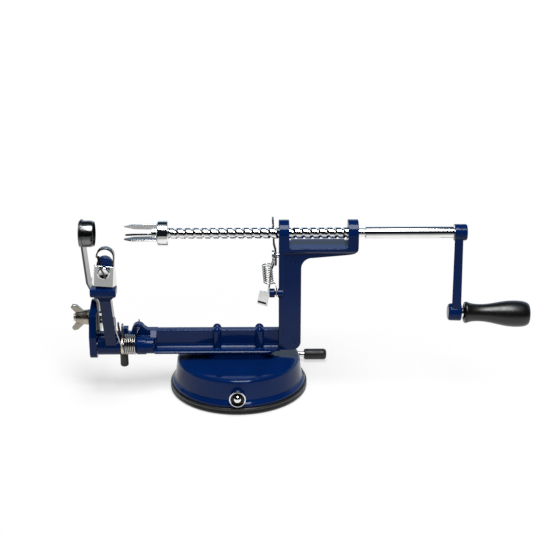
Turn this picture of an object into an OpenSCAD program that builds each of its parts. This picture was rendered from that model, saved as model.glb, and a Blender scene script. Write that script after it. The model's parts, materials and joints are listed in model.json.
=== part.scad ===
// Hand-cranked fruit peeler, corer and slicer on a lever-operated suction foot.
// X runs along the feed screw towards the crank, Y away from the viewer, Z up.
// Millimetres; the origin is the centre of the pad's underside, on the table.

/* [Suction foot] */
// Outer diameter of the rubber pad
pad_d = 108; // [100:1:116]
// Thickness of the pad at its rim
pad_h = 5.5; // [4.5:0.5:7]
// Height of the foot's top edge above the table
foot_h = 26; // [25:0.5:32]
// Wall of the hollow foot
foot_wall = 3; // [2.5:0.25:3.5]
// Diameter of the lever's axle
axle_d = 5; // [4:0.25:5.5]
// How far the cam lifts the stud
cam_lift = 3.5; // [2.5:0.25:4]
// Height of the pedestal between foot and beam
pedestal_h = 6; // [4:0.5:12]

/* [Frame casting] */
// Height of the beam
beam_h = 16.6; // [15:0.2:20]
// Thickness of the beam's web
web_t = 6.4; // [5:0.2:7]
// Width of the beam's lower flange
flange_w = 25; // [22:0.5:30]
// Height of the screw axis above the beam's underside
post_h = 95; // [88:1:110]
// Width of the post along the beam
post_w = 17.2; // [14:0.2:20]
// Thickness of each bearing block
block_t = 8; // [6:0.5:9]
// Distance over both bearing blocks
saddle_l = 60.4; // [54:0.2:64]

/* [Feed screw and crank] */
// Diameter over the thread
thread_d = 8.6; // [8:0.1:9]
// Distance the screw advances in one turn
thread_pitch = 6.35; // [5.5:0.05:7]
// Depth of the thread groove
thread_depth = 1.1; // [0.95:0.05:1.2]
// Outer diameter of the loose chrome sleeve
sleeve_d = 9.2; // [8.8:0.1:10]
// Length of the sleeve
sleeve_l = 67.4; // [58:0.2:80]
// Throw of the crank
crank_r = 65.4; // [55:0.2:75]
// Length of the turning grip
grip_l = 51; // [44:1:60]
// Diameter of the grip at its fat end
grip_d = 20.8; // [18:0.2:24]
// Length of the fork's prongs
prong_l = 25; // [18:1:28]

/* [Peeling arm] */
// Diameter of the pivot pin
pivot_d = 8; // [6:0.25:9]
// Outer diameter of the arm's hub and of the casting's boss
hub_d = 14; // [12.5:0.25:16]
// Width of the arm
arm_w = 8.5; // [7:0.25:9]
// Rise from the pivot to the cross bar
arm_rise = 54.3; // [48:0.1:58]
// Forward lean of the arm at rest over that rise
arm_lean = 26; // [20:1:30]
// Width of the looped peeling blade
loop_w = 13.6; // [12:0.2:14]

/* [Corer and slicer] */
// Outer diameter of the coring ring
corer_d = 20.4; // [20:0.2:24]
// Length of the coring ring
corer_l = 11; // [8:0.5:12]
// Width of the slicing strip
strip_w = 16; // [12:0.5:18]
// Thickness of the slicing strip
strip_t = 1.6; // [1.2:0.1:2]
// Diameter of the clamping bolt
bolt_d = 6; // [5:0.25:7]

/* [Fits] */
// Radial running clearance of a pin in its bore
run = 0.05; // [0.03:0.01:0.08]
// Free gap between pieces that pass each other
free = 0.4; // [0.35:0.05:0.5]

/* [Hidden] */
$fn = 48;

// Heights that the pieces share
beam_z = foot_h + pedestal_h;
beam_top = beam_z + beam_h;
shaft_z = beam_z + post_h;
flange_t = 2;
axle_z = foot_h / 2 + 1;
ceiling_z = foot_h - foot_wall;
foot_r = pad_d / 2;
top_r = foot_r - 5.9;
cap_y = foot_r - 1.7;
cap_d = 12.8;
axle_boss_d = 9.4;
cam_d = axle_d + cam_lift + 0.8;
cam_y = 3;
lever_y = foot_r - 10;
lever_z = 5.8;
lever_back = foot_r + 2.6;
screw_d = 5;
screw_x = 20;
screw_l = 11;
grip_start = foot_r - 0.7;

// Places along the beam
post_x = 31.6;
block_r = 10.3;
saddle_r = 1.8;
saddle_end = post_x + saddle_l;
upright_x = -114.3;
upright_t = 5.7;
upright_in = upright_x + upright_t;
pivot_y = -web_t / 2 - hub_d / 2 - 2.5;
pivot_z = beam_z + hub_d / 2 + 0.7;
rib_d = 7;
rib_x = 16.6;
post_t = 16;
rim_w = 19.2;
mark_d = 5;
mark_t = 0.35;

// Places along the feed screw
tooth_x = post_x - 4;
hub_x = -52.2;
hub_l = 8.4;
fork_d = 19.6;
thread_end = saddle_end + 0.6;
core_d = 6;
sleeve_x = thread_end + 4.8;
crank_x = sleeve_x + sleeve_l + 0.3;
boss_l = 9.6;
crank_boss_d = 12.7;
crank_pin_d = 3;
grip_z = shaft_z - crank_r;
grip_boss_x = crank_x - 1.6;
grip_boss_l = 10.2;
grip_boss_d = 13.5;
grip_blind = 2;
grip_droop = 2;
grip_gap = 2.3;
grip_pin_d = 5;
grip_head_d = 9;

// Places on the peeling arm and its pivot
arm_x = upright_in + 11.1;
arm_right = arm_x + arm_w / 2;
head_y = pivot_y - arm_lean;
head_z = pivot_z + arm_rise;
head_x = arm_x - 0.7;
head_lean = 4.5;
tang_front = head_y - 1.7;
tang_back = head_y + 4;
tang_w = loop_w - 2;
tang_h = 22.5;
bar_w = loop_w + 5.6;
clamp_z = head_z + 17.4;
clamp_d = 4;
fin_x = arm_right + 1.55;
fin_t = 1.2;
fin_l = 24;
hub_right = fin_x + fin_t;
latch_x = hub_right + free;
latch_t = 1.4;
latch_d = pivot_d + 6;
latch_w = 4;
latch_drop = 16.1;
hook_h = 16.8;
coil_x = latch_x + latch_t + free;
coil_l = 10.1;
coil_r = 7.5;
coil_z = pivot_z + 1;
arm_wire = 1.1;
leg_l = 33;
boss_x = coil_x + coil_l;
pivot_boss_l = 13.2;
boss_step = 7.2;
boss_end = boss_x + pivot_boss_l;
pin_end = boss_end - 4;
hump_x = boss_x + 0.2;
hump_r = 5;
hump_hole = beam_top + 1.2;
spigot_d = 10.5;
gusset_w = 4.6;

// Places on the corer and slicer
bolt_z = beam_z + 26.5;
bolt_l = 13.7;
strip_x = upright_in + run + strip_t / 2;
strip_low = 14;
strip_bend = 15;
strip_out = 3.7;
ring_x = upright_x - 5.4;
wing_l = 10.6;

// Places on the release lever
release_z = shaft_z - 19;
release_y = 3;
release_x = post_x - 2.2;
release_t = 1.5;
pivot_screw_d = 4;
tail_l = 42.5;
tail_set = 7.2;
tab_w = 7;
peg_y = -7.5;
peg_z = release_z - 27;
peg_d = 7;
release_wire = 0.95;
release_coil_r = 3.6;
release_coil_l = 14.6;

// A circular arc as a list of points
function arc(x, y, r, from, to, n = 6) =
    [for (i = [0 : n]) let (a = from + (to - from) * i / n) [x + r * cos(a), y + r * sin(a)]];

// Direction and sideways vectors along a path, carried without twist
function unit(v) = v / norm(v);
function heading(p, i) = unit(p[min(i + 1, len(p) - 1)] - p[max(i - 1, 0)]);
function level(n, t) = unit(n - (n * t) * t);
function sideways(p, start) =
    [for (i = 0, n = level(start, heading(p, 0)); i < len(p);
        i = i + 1, n = level(n, heading(p, min(i, len(p) - 1)))) n];

// Distance between the nearest turns of one wire, measured on its own points
function least_gap(p, d, skip) =
    min([for (i = [0 : len(p) - 1]) for (j = [i + skip : 1 : len(p) - 1]) norm(p[i] - p[j])]) - d;

// One unbroken round tube along a path
module tube(p, d, sides = 6, start = [0, 0, 1]) {
    side = sideways(p, start);
    points = [for (i = [0 : len(p) - 1]) for (k = [0 : sides - 1])
        let (a = 360 * k / sides, b = cross(heading(p, i), side[i]))
            p[i] + d / 2 * (cos(a) * side[i] + sin(a) * b)];
    last = (len(p) - 1) * sides;
    walls = [for (i = [0 : len(p) - 2]) for (k = [0 : sides - 1])
        let (a = i * sides + k, b = i * sides + (k + 1) % sides)
            each [[a, a + sides, b + sides], [a, b + sides, b]]];
    first_cap = [for (k = [1 : sides - 2]) [0, k, k + 1]];
    last_cap = [for (k = [1 : sides - 2]) [last, last + k + 1, last + k]];
    polyhedron(points, concat(walls, first_cap, last_cap));
}

// A cylinder along X or along Y
module rod_x(x, l, d, y = 0, z = 0) {
    translate([x, y, z]) rotate([0, 90, 0]) cylinder(d = d, h = l);
}
module rod_y(y, l, d, x = 0, z = 0) {
    translate([x, y, z]) rotate([-90, 0, 0]) cylinder(d = d, h = l);
}

// Outlines pushed out sideways: one drawn in X and Z, one drawn in Y and Z
module push_y(y, l) {
    translate([0, y + l, 0]) rotate([90, 0, 0]) linear_extrude(l) children();
}
module push_x(x, l) {
    translate([x, 0, 0]) rotate([90, 0, 90]) linear_extrude(l) children();
}

// Hollow foot with a bead round its lower edge and a pedestal for the beam
module base_housing() {
    lip = foot_r - 1.6;
    outer = concat(
        [[lip, pad_h], [lip, pad_h + 1.9], [lip - 0.5, pad_h + 2.8], [lip - 1.4, pad_h + 3.4]],
        [[lip - 2.1, pad_h + 4.3], [lip - 2.5, pad_h + 5.7]],
        arc(top_r - 2.7, foot_h - 3, 3, 0, 90), [[top_r - 9, foot_h + 0.5], [0, foot_h + 1]]);
    inner = [[0, ceiling_z], [top_r - 3 - foot_wall, ceiling_z],
        [top_r - foot_wall, ceiling_z - 3], [lip - 2.5 - foot_wall, pad_h + 5.7],
        [lip - 1.2 - foot_wall, pad_h]];
    color([0.05, 0.1, 0.36])
    difference() {
        union() {
            rotate_extrude($fn = 96) polygon(concat(outer, inner));
            translate([0, 0, foot_h - 1]) linear_extrude(pedestal_h + 1) {
                square([30, flange_w - 2], center = true);
                for (x = [-15, 15]) translate([x, 0]) circle(d = flange_w - 2);
            }
            for (y = [free - cap_y, 42]) rod_y(y, cap_y - 42 - free, axle_boss_d, 0, axle_z);
        }
        rod_y(-foot_r - 5, pad_d + 10, axle_d + 2 * run, 0, axle_z);
        for (x = [-screw_x, screw_x]) translate([x, 0, ceiling_z - 1])
            cylinder(d = screw_d, h = foot_wall + pedestal_h + 2);
    }
}

// Rubber pad, drawn up in the middle as it is when it grips
module suction_pad() {
    profile = concat(
        [[foot_r - 15, 0], [foot_r - 1.4, 0]], arc(foot_r - 1.4, 1.4, 1.4, -90, 0, 4),
        arc(foot_r - 1.2, pad_h - 1.2, 1.2, 0, 90, 4), [[34, pad_h], [14, pad_h + 2], [0, pad_h + 2]],
        [[0, 4], [12, 4], [30, 1.4]]);
    color([0.07, 0.07, 0.08]) rotate_extrude($fn = 96) polygon(profile);
}

// Stud moulded into the pad, with a slotted yoke round the cam
module pad_stud() {
    foot = pad_h + 2;
    middle = axle_z + cam_lift / 2;
    slot_w = cam_d + cam_lift + 2 * free;
    slot_h = cam_d + 0.3 * cam_lift;
    color([0.6, 0.6, 0.62])
    difference() {
        union() {
            translate([0, 0, foot]) cylinder(d = 26, h = 1.6);
            translate([-slot_w / 2 - 2.2, -cam_y, foot + 1])
                cube([slot_w + 4.4, 2 * cam_y, middle + slot_h / 2 + 1.5 - foot - 1]);
        }
        translate([-slot_w / 2, -cam_y - 1, middle - slot_h / 2]) cube([slot_w, 2 * cam_y + 2, slot_h]);
    }
}

// Chrome rod: a straight axle, then an arm bent round the back of the foot
module lever_rod() {
    bend = [[0, lever_back - 6, axle_z], [0, lever_back - 3.4, axle_z], [0.9, lever_back - 1, axle_z - 0.1],
        [3, lever_back, axle_z - 0.3], [30, lever_back - 4.2, lever_z + 2.4],
        [39, lever_back - 7, lever_z + 1.2], [44, lever_y + 2, lever_z + 0.4],
        [49, lever_y + 0.3, lever_z], [53, lever_y, lever_z], [grip_start + 15, lever_y, lever_z]];
    color([0.75, 0.75, 0.77]) {
        rod_y(-cap_y - 2.4, cap_y + lever_back - 2, axle_d, 0, axle_z);
        tube(bend, axle_d - 0.3, 12);
    }
}

// Eccentric on the axle, inside the stud's yoke
module lever_cam() {
    color([0.6, 0.6, 0.62])
    difference() {
        rod_y(-cam_y - 1.2, 2 * cam_y + 2.4, cam_d, 0, axle_z + cam_lift / 2);
        rod_y(-cam_y - 2, 2 * cam_y + 4, axle_d, 0, axle_z);
    }
}

// Black grip on the lever's end
module lever_grip() {
    long = 18.7;
    profile = concat([[0, 0], [3.6, 0]], [[4.5, 0.9], [4.5, long - 2.6]],
        arc(1.9, long - 2.6, 2.6, 0, 90, 5), [[0, long]]);
    color([0.07, 0.07, 0.08])
    difference() {
        translate([grip_start, lever_y, lever_z]) rotate([0, 90, 0]) rotate_extrude() polygon(profile);
        rod_x(grip_start - 1, 16, axle_d - 0.3 + 2 * run, lever_y, lever_z);
    }
}

// Push-on dome cap with its cup washer on the axle's front end
module axle_cap() {
    cup = [[0, 0], [cap_d / 2, 0], [cap_d / 2, 1.3], [cap_d / 2 - 0.7, 1.9], [4.5, 1.9], [4.1, 3],
        [3.2, 4], [1.7, 4.6], [0, 4.8]];
    color([0.75, 0.75, 0.77])
    difference() {
        translate([0, -cap_y, axle_z]) rotate([90, 0, 0]) rotate_extrude() polygon(cup);
        rod_y(-cap_y - 2.4, 10, axle_d, 0, axle_z);
    }
}

// Two pan-head screws that hold the beam on the foot
module base_screws() {
    color([0.6, 0.6, 0.62])
    for (x = [-screw_x, screw_x]) translate([x, 0, 0]) {
        translate([0, 0, ceiling_z - 2.4]) cylinder(d = 9, h = 2.4);
        translate([0, 0, ceiling_z - 1]) cylinder(d = screw_d, h = foot_wall + pedestal_h + screw_l + 1);
    }
}

// Bevelled outline of the post with its saddle, in X and Z
module post_outline() {
    right = post_x + post_w;
    polygon(concat(
        [[post_x, beam_z + 1.3]], arc(right - 6.4, beam_z + 7.7, 6.4, -90, 0),
        arc(right + 8.4, shaft_z - 26, 8.4, 180, 90),
        arc(saddle_end - 7, shaft_z - 8.2, 7, -90, 0), [[saddle_end, shaft_z - 2]],
        [[saddle_end - block_t, shaft_z - 2], [saddle_end - block_t, shaft_z - 9.4]],
        [[post_x + block_t, shaft_z - 9.4], [post_x + block_t, shaft_z - 2], [post_x, shaft_z - 2]]));
}

// Section of the saddle: upright rim and sloping underside, in Y and Z
module saddle_section() {
    wide = block_r - 0.1;
    slim = post_t / 2 - 1;
    polygon([[-wide, shaft_z], [-wide, shaft_z - 11.8], [-slim, shaft_z - 15.3], [slim, shaft_z - 15.3],
        [wide, shaft_z - 11.8], [wide, shaft_z]]);
}

// Wider saddle between the bearing blocks, with a rounded outer corner, in X and Z
module saddle_outline() {
    polygon(concat(
        [[post_x, shaft_z - 15.2]], arc(saddle_end - 6, shaft_z - 9.2, 6, -90, 0),
        [[saddle_end, shaft_z - 2], [saddle_end - block_t, shaft_z - 2]],
        arc(saddle_end - block_t - saddle_r, shaft_z - 9.4 + saddle_r, saddle_r, 0, -90, 3),
        arc(post_x + block_t + saddle_r, shaft_z - 9.4 + saddle_r, saddle_r, 270, 180, 3),
        [[post_x + block_t, shaft_z - 2], [post_x, shaft_z - 2]]));
}

// Section of the beam: flange, fillets and web, in Y and Z
module beam_section() {
    half = flange_w / 2;
    web = web_t / 2;
    fillet = 3;
    right = concat([[half - 0.4, beam_z], [half, beam_z + 0.4], [half, beam_z + flange_t - 0.6]],
        [[half - 0.6, beam_z + flange_t]], arc(web + fillet, beam_z + flange_t + fillet, fillet, 270, 180),
        arc(web - 1.2, beam_top - 1.2, 1.2, 0, 90, 3));
    left = [for (i = [len(right) - 1 : -1 : 0]) [-right[i][0], right[i][1]]];
    polygon(concat(right, left));
}

// Plan of the beam: rounded flange end, narrowed where it meets the post and the boss
module beam_plan() {
    half = flange_w / 2;
    r = 7;
    polygon(concat(
        [[boss_end, -half], [post_x - 2 - r, -half]], arc(post_x - 2 - r, -half + r, r, -90, -20),
        [[post_x + 2, -7.6], [post_x + 2, 7.6]], arc(post_x - 2 - r, half - r, r, 20, 90),
        [[boss_end, half]]));
}

// Web of the beam with the hump and the lug near the pivot, in X and Z
module web_outline() {
    polygon(concat(
        [[upright_in - 1, beam_z], [boss_end + 2, beam_z], [boss_end + 2, beam_top]],
        [[hump_x + hump_r + 2.2, beam_top]], arc(hump_x, beam_top, hump_r, 22, 165, 10),
        [[hump_x - 5.4, beam_top - 1.6], [hump_x - 6.2, beam_top - 2.8], [hump_x - 8, beam_top - 3]],
        [[hump_x - 8, beam_top + 1.3], [hump_x - 12, beam_top + 1.3], [hump_x - 12, beam_top - 3]],
        [[upright_in - 1, beam_top - 3]]));
}

// Upright at the far end, in Y and Z
module upright_outline() {
    front = pivot_y - hub_d / 2 - 0.4;
    polygon(concat(
        arc(front + 5, beam_z + 4, 5, 180, 270, 4), arc(4, beam_z + 4, 5, 270, 360, 4),
        arc(5.5, bolt_z + 9.5, 3.5, 0, 90, 4), arc(3, bolt_z + 10.5, 2.5, 90, 115, 2),
        arc(-12.2, bolt_z + 4.6, 2.6, 115, 166, 3), arc(front + 6, pivot_z + 9, 6, 166, 180, 2)));
}

// Sloping gusset between the web and the end of the pivot boss, in Y and Z
module gusset_outline() {
    face = -web_t / 2;
    polygon([[face + 1, beam_top - 0.3], [face - 0.2, beam_top - 0.3], [face - 5, beam_top - 5.1],
        [face - 5, pivot_z - 2], [face + 1, pivot_z - 2]]);
}

// Mushroom peg on the post for the release spring's lower hook
module spring_peg() {
    rod_x(post_x - 0.8, 4, peg_d, peg_y, peg_z);
    rod_x(post_x - 3.2, 3, peg_d - 3.8, peg_y, peg_z);
    rod_x(post_x - 7.3, 4.3, peg_d, peg_y, peg_z);
}

// One casting: beam, post, saddle, bearing blocks, upright, pivot boss and spring peg
module frame() {
    color([0.05, 0.1, 0.36])
    difference() {
        union() {
            push_y(-web_t / 2, web_t) web_outline();
            intersection() {
                push_x(boss_end, post_x + 1 - boss_end) beam_section();
                translate([0, 0, beam_z - 1]) linear_extrude(beam_h + 2) beam_plan();
            }
            for (x = [-rib_x, rib_x]) for (y = [-1, 1]) translate([x, y * web_t / 2, beam_z + 2]) {
                cylinder(d = rib_d, h = beam_h - rib_d / 2 + 0.4);
                translate([0, 0, beam_h - rib_d / 2 + 0.4]) sphere(d = rib_d - 0.02);
            }
            push_y(-post_t / 2, post_t) post_outline();
            translate([post_x, -rim_w / 2, beam_z + 6]) cube([3.2, rim_w, post_h - 10]);
            for (x = [post_x, saddle_end - block_t]) {
                rod_x(x, block_t, 2 * block_r, 0, shaft_z);
            }
            intersection() {
                push_y(-block_r, 2 * block_r) saddle_outline();
                push_x(post_x - 1, saddle_l + 2) saddle_section();
            }
            push_x(upright_x, upright_t) upright_outline();
            rod_x(boss_x, boss_step, hub_d, pivot_y, pivot_z);
            rod_x(boss_x, pivot_boss_l, hub_d - 1.4, pivot_y, pivot_z);
            rod_x(coil_x, coil_l + 1, spigot_d, pivot_y, pivot_z);
            translate([boss_x, pivot_y, beam_z + 0.8]) cube([pivot_boss_l, -pivot_y, hub_d - 3]);
            push_x(boss_end - gusset_w + 1.2, gusset_w) gusset_outline();
            spring_peg();
        }
        rod_x(post_x - 1, block_t + 2, thread_d + 0.3, 0, shaft_z);
        rod_x(saddle_end - block_t - 1, block_t + 2, sleeve_d + 2 * run, 0, shaft_z);
        rod_x(upright_x - 1, pin_end - upright_x + 1, pivot_d, pivot_y, pivot_z);
        rod_x(upright_x - 1, upright_t + 2, bolt_d, 0, bolt_z);
        rod_x(post_x - 1, 7, pivot_screw_d, release_y, release_z);
        rod_y(-web_t - 2, 2 * web_t + 4, 2.4, hump_x, hump_hole);
        for (x = [-screw_x, screw_x]) translate([x, 0, beam_z - 1]) cylinder(d = screw_d, h = screw_l + 1);
        for (z = [beam_z + 8.6, shaft_z - 19]) for (y = [-post_t / 2 - 1, post_t / 2 - mark_t])
            rod_y(y, mark_t + 1, mark_d, post_x + post_w * 0.64, z);
    }
}

// Rope-like thread, with a plain end for the fork and a long core for sleeve and crank
module feed_screw() {
    sides = 16;
    steps = 8;
    low = ceil((hub_x - tooth_x) / thread_pitch * steps);
    high = floor((thread_end - tooth_x) / thread_pitch * steps);
    rings = high - low + 1;
    points = [for (i = [low : high]) for (k = [0 : sides - 1])
        let (a = 360 * k / sides, phase = a - 360 * i / steps,
            r = thread_d / 2 - thread_depth * max(0, cos(phase) - 0.3) / 0.7)
            [tooth_x + i * thread_pitch / steps, r * cos(a), r * sin(a)]];
    walls = [for (i = [0 : rings - 2]) for (k = [0 : sides - 1])
        let (a = i * sides + k, b = i * sides + (k + 1) % sides)
            each [[a, a + sides, b + sides], [a, b + sides, b]]];
    last = (rings - 1) * sides;
    caps = concat([for (k = [1 : sides - 2]) [0, k, k + 1]],
        [for (k = [1 : sides - 2]) [last, last + k + 1, last + k]]);
    start = tooth_x + low * thread_pitch / steps;
    finish = tooth_x + high * thread_pitch / steps;
    color([0.75, 0.75, 0.77])
    difference() {
        union() {
            translate([0, 0, shaft_z]) polyhedron(points, concat(walls, caps));
            rod_x(hub_x - hub_l - 4, start - hub_x + hub_l + 6, 5, 0, shaft_z);
            rod_x(finish - 2, sleeve_x - 0.3 - finish + 2, 5.6, 0, shaft_z);
            rod_x(finish - 0.01, sleeve_x - 0.3 - finish + 0.01, 7, 0, shaft_z);
            rod_x(sleeve_x - 1, crank_x + boss_l - sleeve_x + 1, core_d, 0, shaft_z);
        }
        rod_y(-10, 20, crank_pin_d, crank_x + boss_l / 2, shaft_z);
    }
}

// Loose chrome sleeve that slides with the screw and does not turn
module shank_sleeve() {
    color([0.78, 0.78, 0.8])
    difference() {
        rod_x(sleeve_x, sleeve_l, sleeve_d, 0, shaft_z);
        rod_x(sleeve_x - 1, sleeve_l + 2, core_d + 2 * run, 0, shaft_z);
    }
}

// Round hub with broken edges and three flat prongs
module fork() {
    color([0.75, 0.75, 0.77])
    difference() {
        union() {
            translate([hub_x - hub_l, 0, shaft_z]) rotate([0, 90, 0]) rotate_extrude() polygon([[0, 0],
                [fork_d / 2 - 0.7, 0], [fork_d / 2, 0.7], [fork_d / 2, hub_l - 0.5], [fork_d / 2 - 0.5, hub_l],
                [0, hub_l]]);
            for (turn = [0, 120, 240]) translate([0, 0, shaft_z]) rotate([turn, 0, 0])
                push_y(-0.8, 1.6) polygon([[hub_x - hub_l + 1, 3.2], [hub_x - hub_l + 1, 7.6],
                    [hub_x - hub_l - prong_l + 6, 7.4], [hub_x - hub_l - prong_l, 5.9],
                    [hub_x - hub_l - prong_l, 5.4], [hub_x - hub_l - prong_l + 8, 3.6]]);
        }
        rod_x(hub_x - hub_l - 1, hub_l + 2, 5, 0, shaft_z);
        rod_x(hub_x - hub_l - 4.4, 4.4, 8.6, 0, shaft_z);
    }
}

// Round nut that keeps the fork on the screw's end
module fork_nut() {
    color([0.6, 0.6, 0.62])
    difference() {
        rod_x(hub_x - hub_l - 4.4, 4.4, 8, 0, shaft_z);
        rod_x(hub_x - hub_l - 4, 5, 5, 0, shaft_z);
    }
}

// Place and slight droop of the grip's axis, from the outer face of the crank's lower boss
module at_grip() {
    translate([grip_boss_x, 0, grip_z]) rotate([0, grip_droop, 0]) children();
}

// Cast crank with a boss at each end
module crank_arm() {
    foot_end = grip_boss_x + grip_boss_l;
    color([0.05, 0.1, 0.36])
    difference() {
        union() {
            rod_x(crank_x, boss_l, crank_boss_d - 0.6, 0, shaft_z);
            rod_x(crank_x, boss_l / 2, crank_boss_d, 0, shaft_z);
            rod_x(crank_x + boss_l / 2 + 0.5, boss_l / 2 - 1.3, crank_boss_d, 0, shaft_z);
            at_grip() rod_x(0, grip_boss_l, grip_boss_d);
            push_y(-5, 10) polygon([[crank_x, shaft_z], [crank_x + 6.5, shaft_z],
                [foot_end - 0.5, grip_z], [grip_boss_x + 2.4, grip_z]]);
        }
        rod_x(crank_x - 1, boss_l + 2, core_d, 0, shaft_z);
        rod_y(-10, 20, crank_pin_d, crank_x + boss_l / 2, shaft_z);
        at_grip() rod_x(grip_blind, grip_boss_l, grip_pin_d);
    }
}

// Cross pin that fixes the crank on the screw
module crank_pin() {
    pin_l = crank_boss_d - 0.4;
    color([0.05, 0.1, 0.36]) rod_y(-pin_l / 2, pin_l, crank_pin_d, crank_x + boss_l / 2, shaft_z);
}

// Headed pin that the grip turns on
module grip_pin() {
    grip_end = grip_boss_l + grip_gap + grip_l;
    color([0.75, 0.75, 0.77])
    at_grip() {
        rod_x(grip_blind, grip_end - 4 - grip_blind, grip_pin_d);
        rod_x(grip_boss_l, grip_gap - 0.3, grip_pin_d + 2.6);
        rod_x(grip_end - 5, 2, grip_head_d);
    }
}

// Black grip with a collar, a waist and a fat end
module crank_grip() {
    fat = grip_d / 2;
    far = grip_l;
    start = grip_boss_l + grip_gap;
    // Radius along the grip: collar, waist, swelling and rounded end
    profile = [[0, 0], [fat * 0.72, 0], [fat * 0.8, 0.7], [fat * 0.82, 1.8], [fat * 0.78, 3],
        [fat * 0.7, 5.2], [fat * 0.655, far * 0.17], [fat * 0.645, far * 0.25], [fat * 0.67, far * 0.33],
        [fat * 0.74, far * 0.42], [fat * 0.83, far * 0.51], [fat * 0.92, far * 0.6],
        [fat * 0.98, far * 0.69], [fat, far * 0.78], [fat * 0.99, far * 0.86], [fat * 0.95, far * 0.92],
        [fat * 0.88, far * 0.965], [fat * 0.79, far * 0.99], [fat * 0.7, far], [0, far]];
    color([0.07, 0.07, 0.08])
    at_grip() difference() {
        translate([start, 0, 0]) rotate([0, 90, 0]) rotate_extrude($fn = 64) polygon(profile);
        rod_x(start - 1, grip_l, grip_pin_d + 2 * run);
        rod_x(start + grip_l - 5.4, 7, grip_head_d + 0.6);
    }
}

// Bent lever: a tooth in the thread, a hole for the spring and a thumb tab
module release_lever() {
    half = release_t / 2;
    tail = release_z - tail_l;
    tip = release_x - tail_set;
    line = [[release_x - 2.2, shaft_z + 10], [release_x - 1.4, shaft_z - 11], [release_x, release_z + 3],
        [release_x, release_z - 3], [release_x - tail_set * 0.47, release_z - tail_l * 0.28],
        [release_x - tail_set * 0.8, release_z - tail_l * 0.7], [tip, tail]];
    side = concat([for (p = line) [p[0] - half, p[1]]],
        [for (i = [len(line) - 1 : -1 : 0]) [line[i][0] + half, line[i][1]]]);
    color([0.7, 0.7, 0.72])
    difference() {
        union() {
            intersection() {
                push_y(-14, 28) polygon(side);
                push_x(tip - 10, tail_set + 20) union() {
                    translate([release_y + 2, release_z]) square([6, shaft_z + 9.5 - release_z]);
                    translate([peg_y - 2.4, release_z - 4]) square([release_y + 8.4 - peg_y, 8]);
                    translate([release_y - 1, tail + 0.5]) square([7, tail_l + 1.5]);
                }
            }
            translate([tooth_x - 0.5, thread_d / 2 - thread_depth / 2, shaft_z - 0.9])
                cube([1, release_y + 4 - thread_d / 2, 1.8]);
            push_y(release_y - 1, 1.4) polygon([[tip + 1.4, tail + 12.5], [tip - tab_w + 1.6, tail + 13.4],
                [tip - tab_w - 0.2, tail + 3.6], [tip, tail + 1.5]]);
            push_y(release_y - 3, 2.4) polygon([[tip - tab_w + 0.1, tail + 4.9], [tip - 0.2, tail + 2.9],
                [tip - 0.2, tail + 1.5], [tip - tab_w - 0.2, tail + 3.6]]);
        }
        rod_x(release_x - 2, 4, pivot_screw_d + 2 * run, release_y, release_z);
        rod_x(release_x - 2, 4, release_wire + 1.65, peg_y, release_z);
    }
}

// Shoulder screw that the release lever rocks on
module release_screw() {
    color([0.75, 0.75, 0.77]) {
        rod_x(release_x - 1.4, post_x + 5.5 - release_x + 1.4, pivot_screw_d, release_y, release_z);
        rod_x(release_x - 3, 1.7, 2 * pivot_screw_d, release_y, release_z);
    }
}

// Centre line of the release spring: hook in the lever, coil, hook round the peg
function release_path() =
    let (turns = 8, r = release_coil_r, top = [release_x - 6.8, peg_y, release_z - 4],
        low = top + [1.2, 0, -release_coil_l], end_z = release_z - 4 - release_coil_l,
        ring = peg_d / 2 - 1.1,
        coil = [for (i = [0 : turns * 8]) let (t = i / (turns * 8), a = 45 * i)
            top + (low - top) * t + [r * cos(a), r * sin(a), 0]])
    concat([[release_x + 1.3, peg_y, release_z], [release_x, peg_y, release_z],
        [release_x - 1.4, peg_y, release_z - 0.1], [release_x - 2.4, peg_y, release_z - 0.9],
        [release_x - 3, peg_y, release_z - 2.2]], [for (i = [0 : turns * 8]) coil[i]],
        [[release_x - 0.8, peg_y + 0.9, end_z - 1], [release_x + 0.1, peg_y - 0.4, end_z - 2.3],
            [release_x + 0.4, peg_y - 1.9, end_z - 4.2]],
        [for (a = [165 : 30 : 345]) [release_x + 0.4, peg_y + ring * cos(a), peg_z + ring * sin(a)]]);
echo("release_spring least gap", least_gap(release_path(), release_wire, 7));

module release_spring() {
    color([0.75, 0.75, 0.77]) tube(release_path(), release_wire, 6, [0, 1, 0]);
}

// Steel pin pressed into the upright and the boss, carrying arm, latch and spring
module arm_pin() {
    color([0.6, 0.6, 0.62]) rod_x(upright_x, pin_end - upright_x, pivot_d, pivot_y, pivot_z);
}

// Place and slight sideways lean of the tang, the blade and its clamp
module at_head() {
    translate([head_x, 0, head_z]) rotate([0, head_lean, 0]) translate([-arm_x, 0, -head_z]) children();
}

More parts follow.
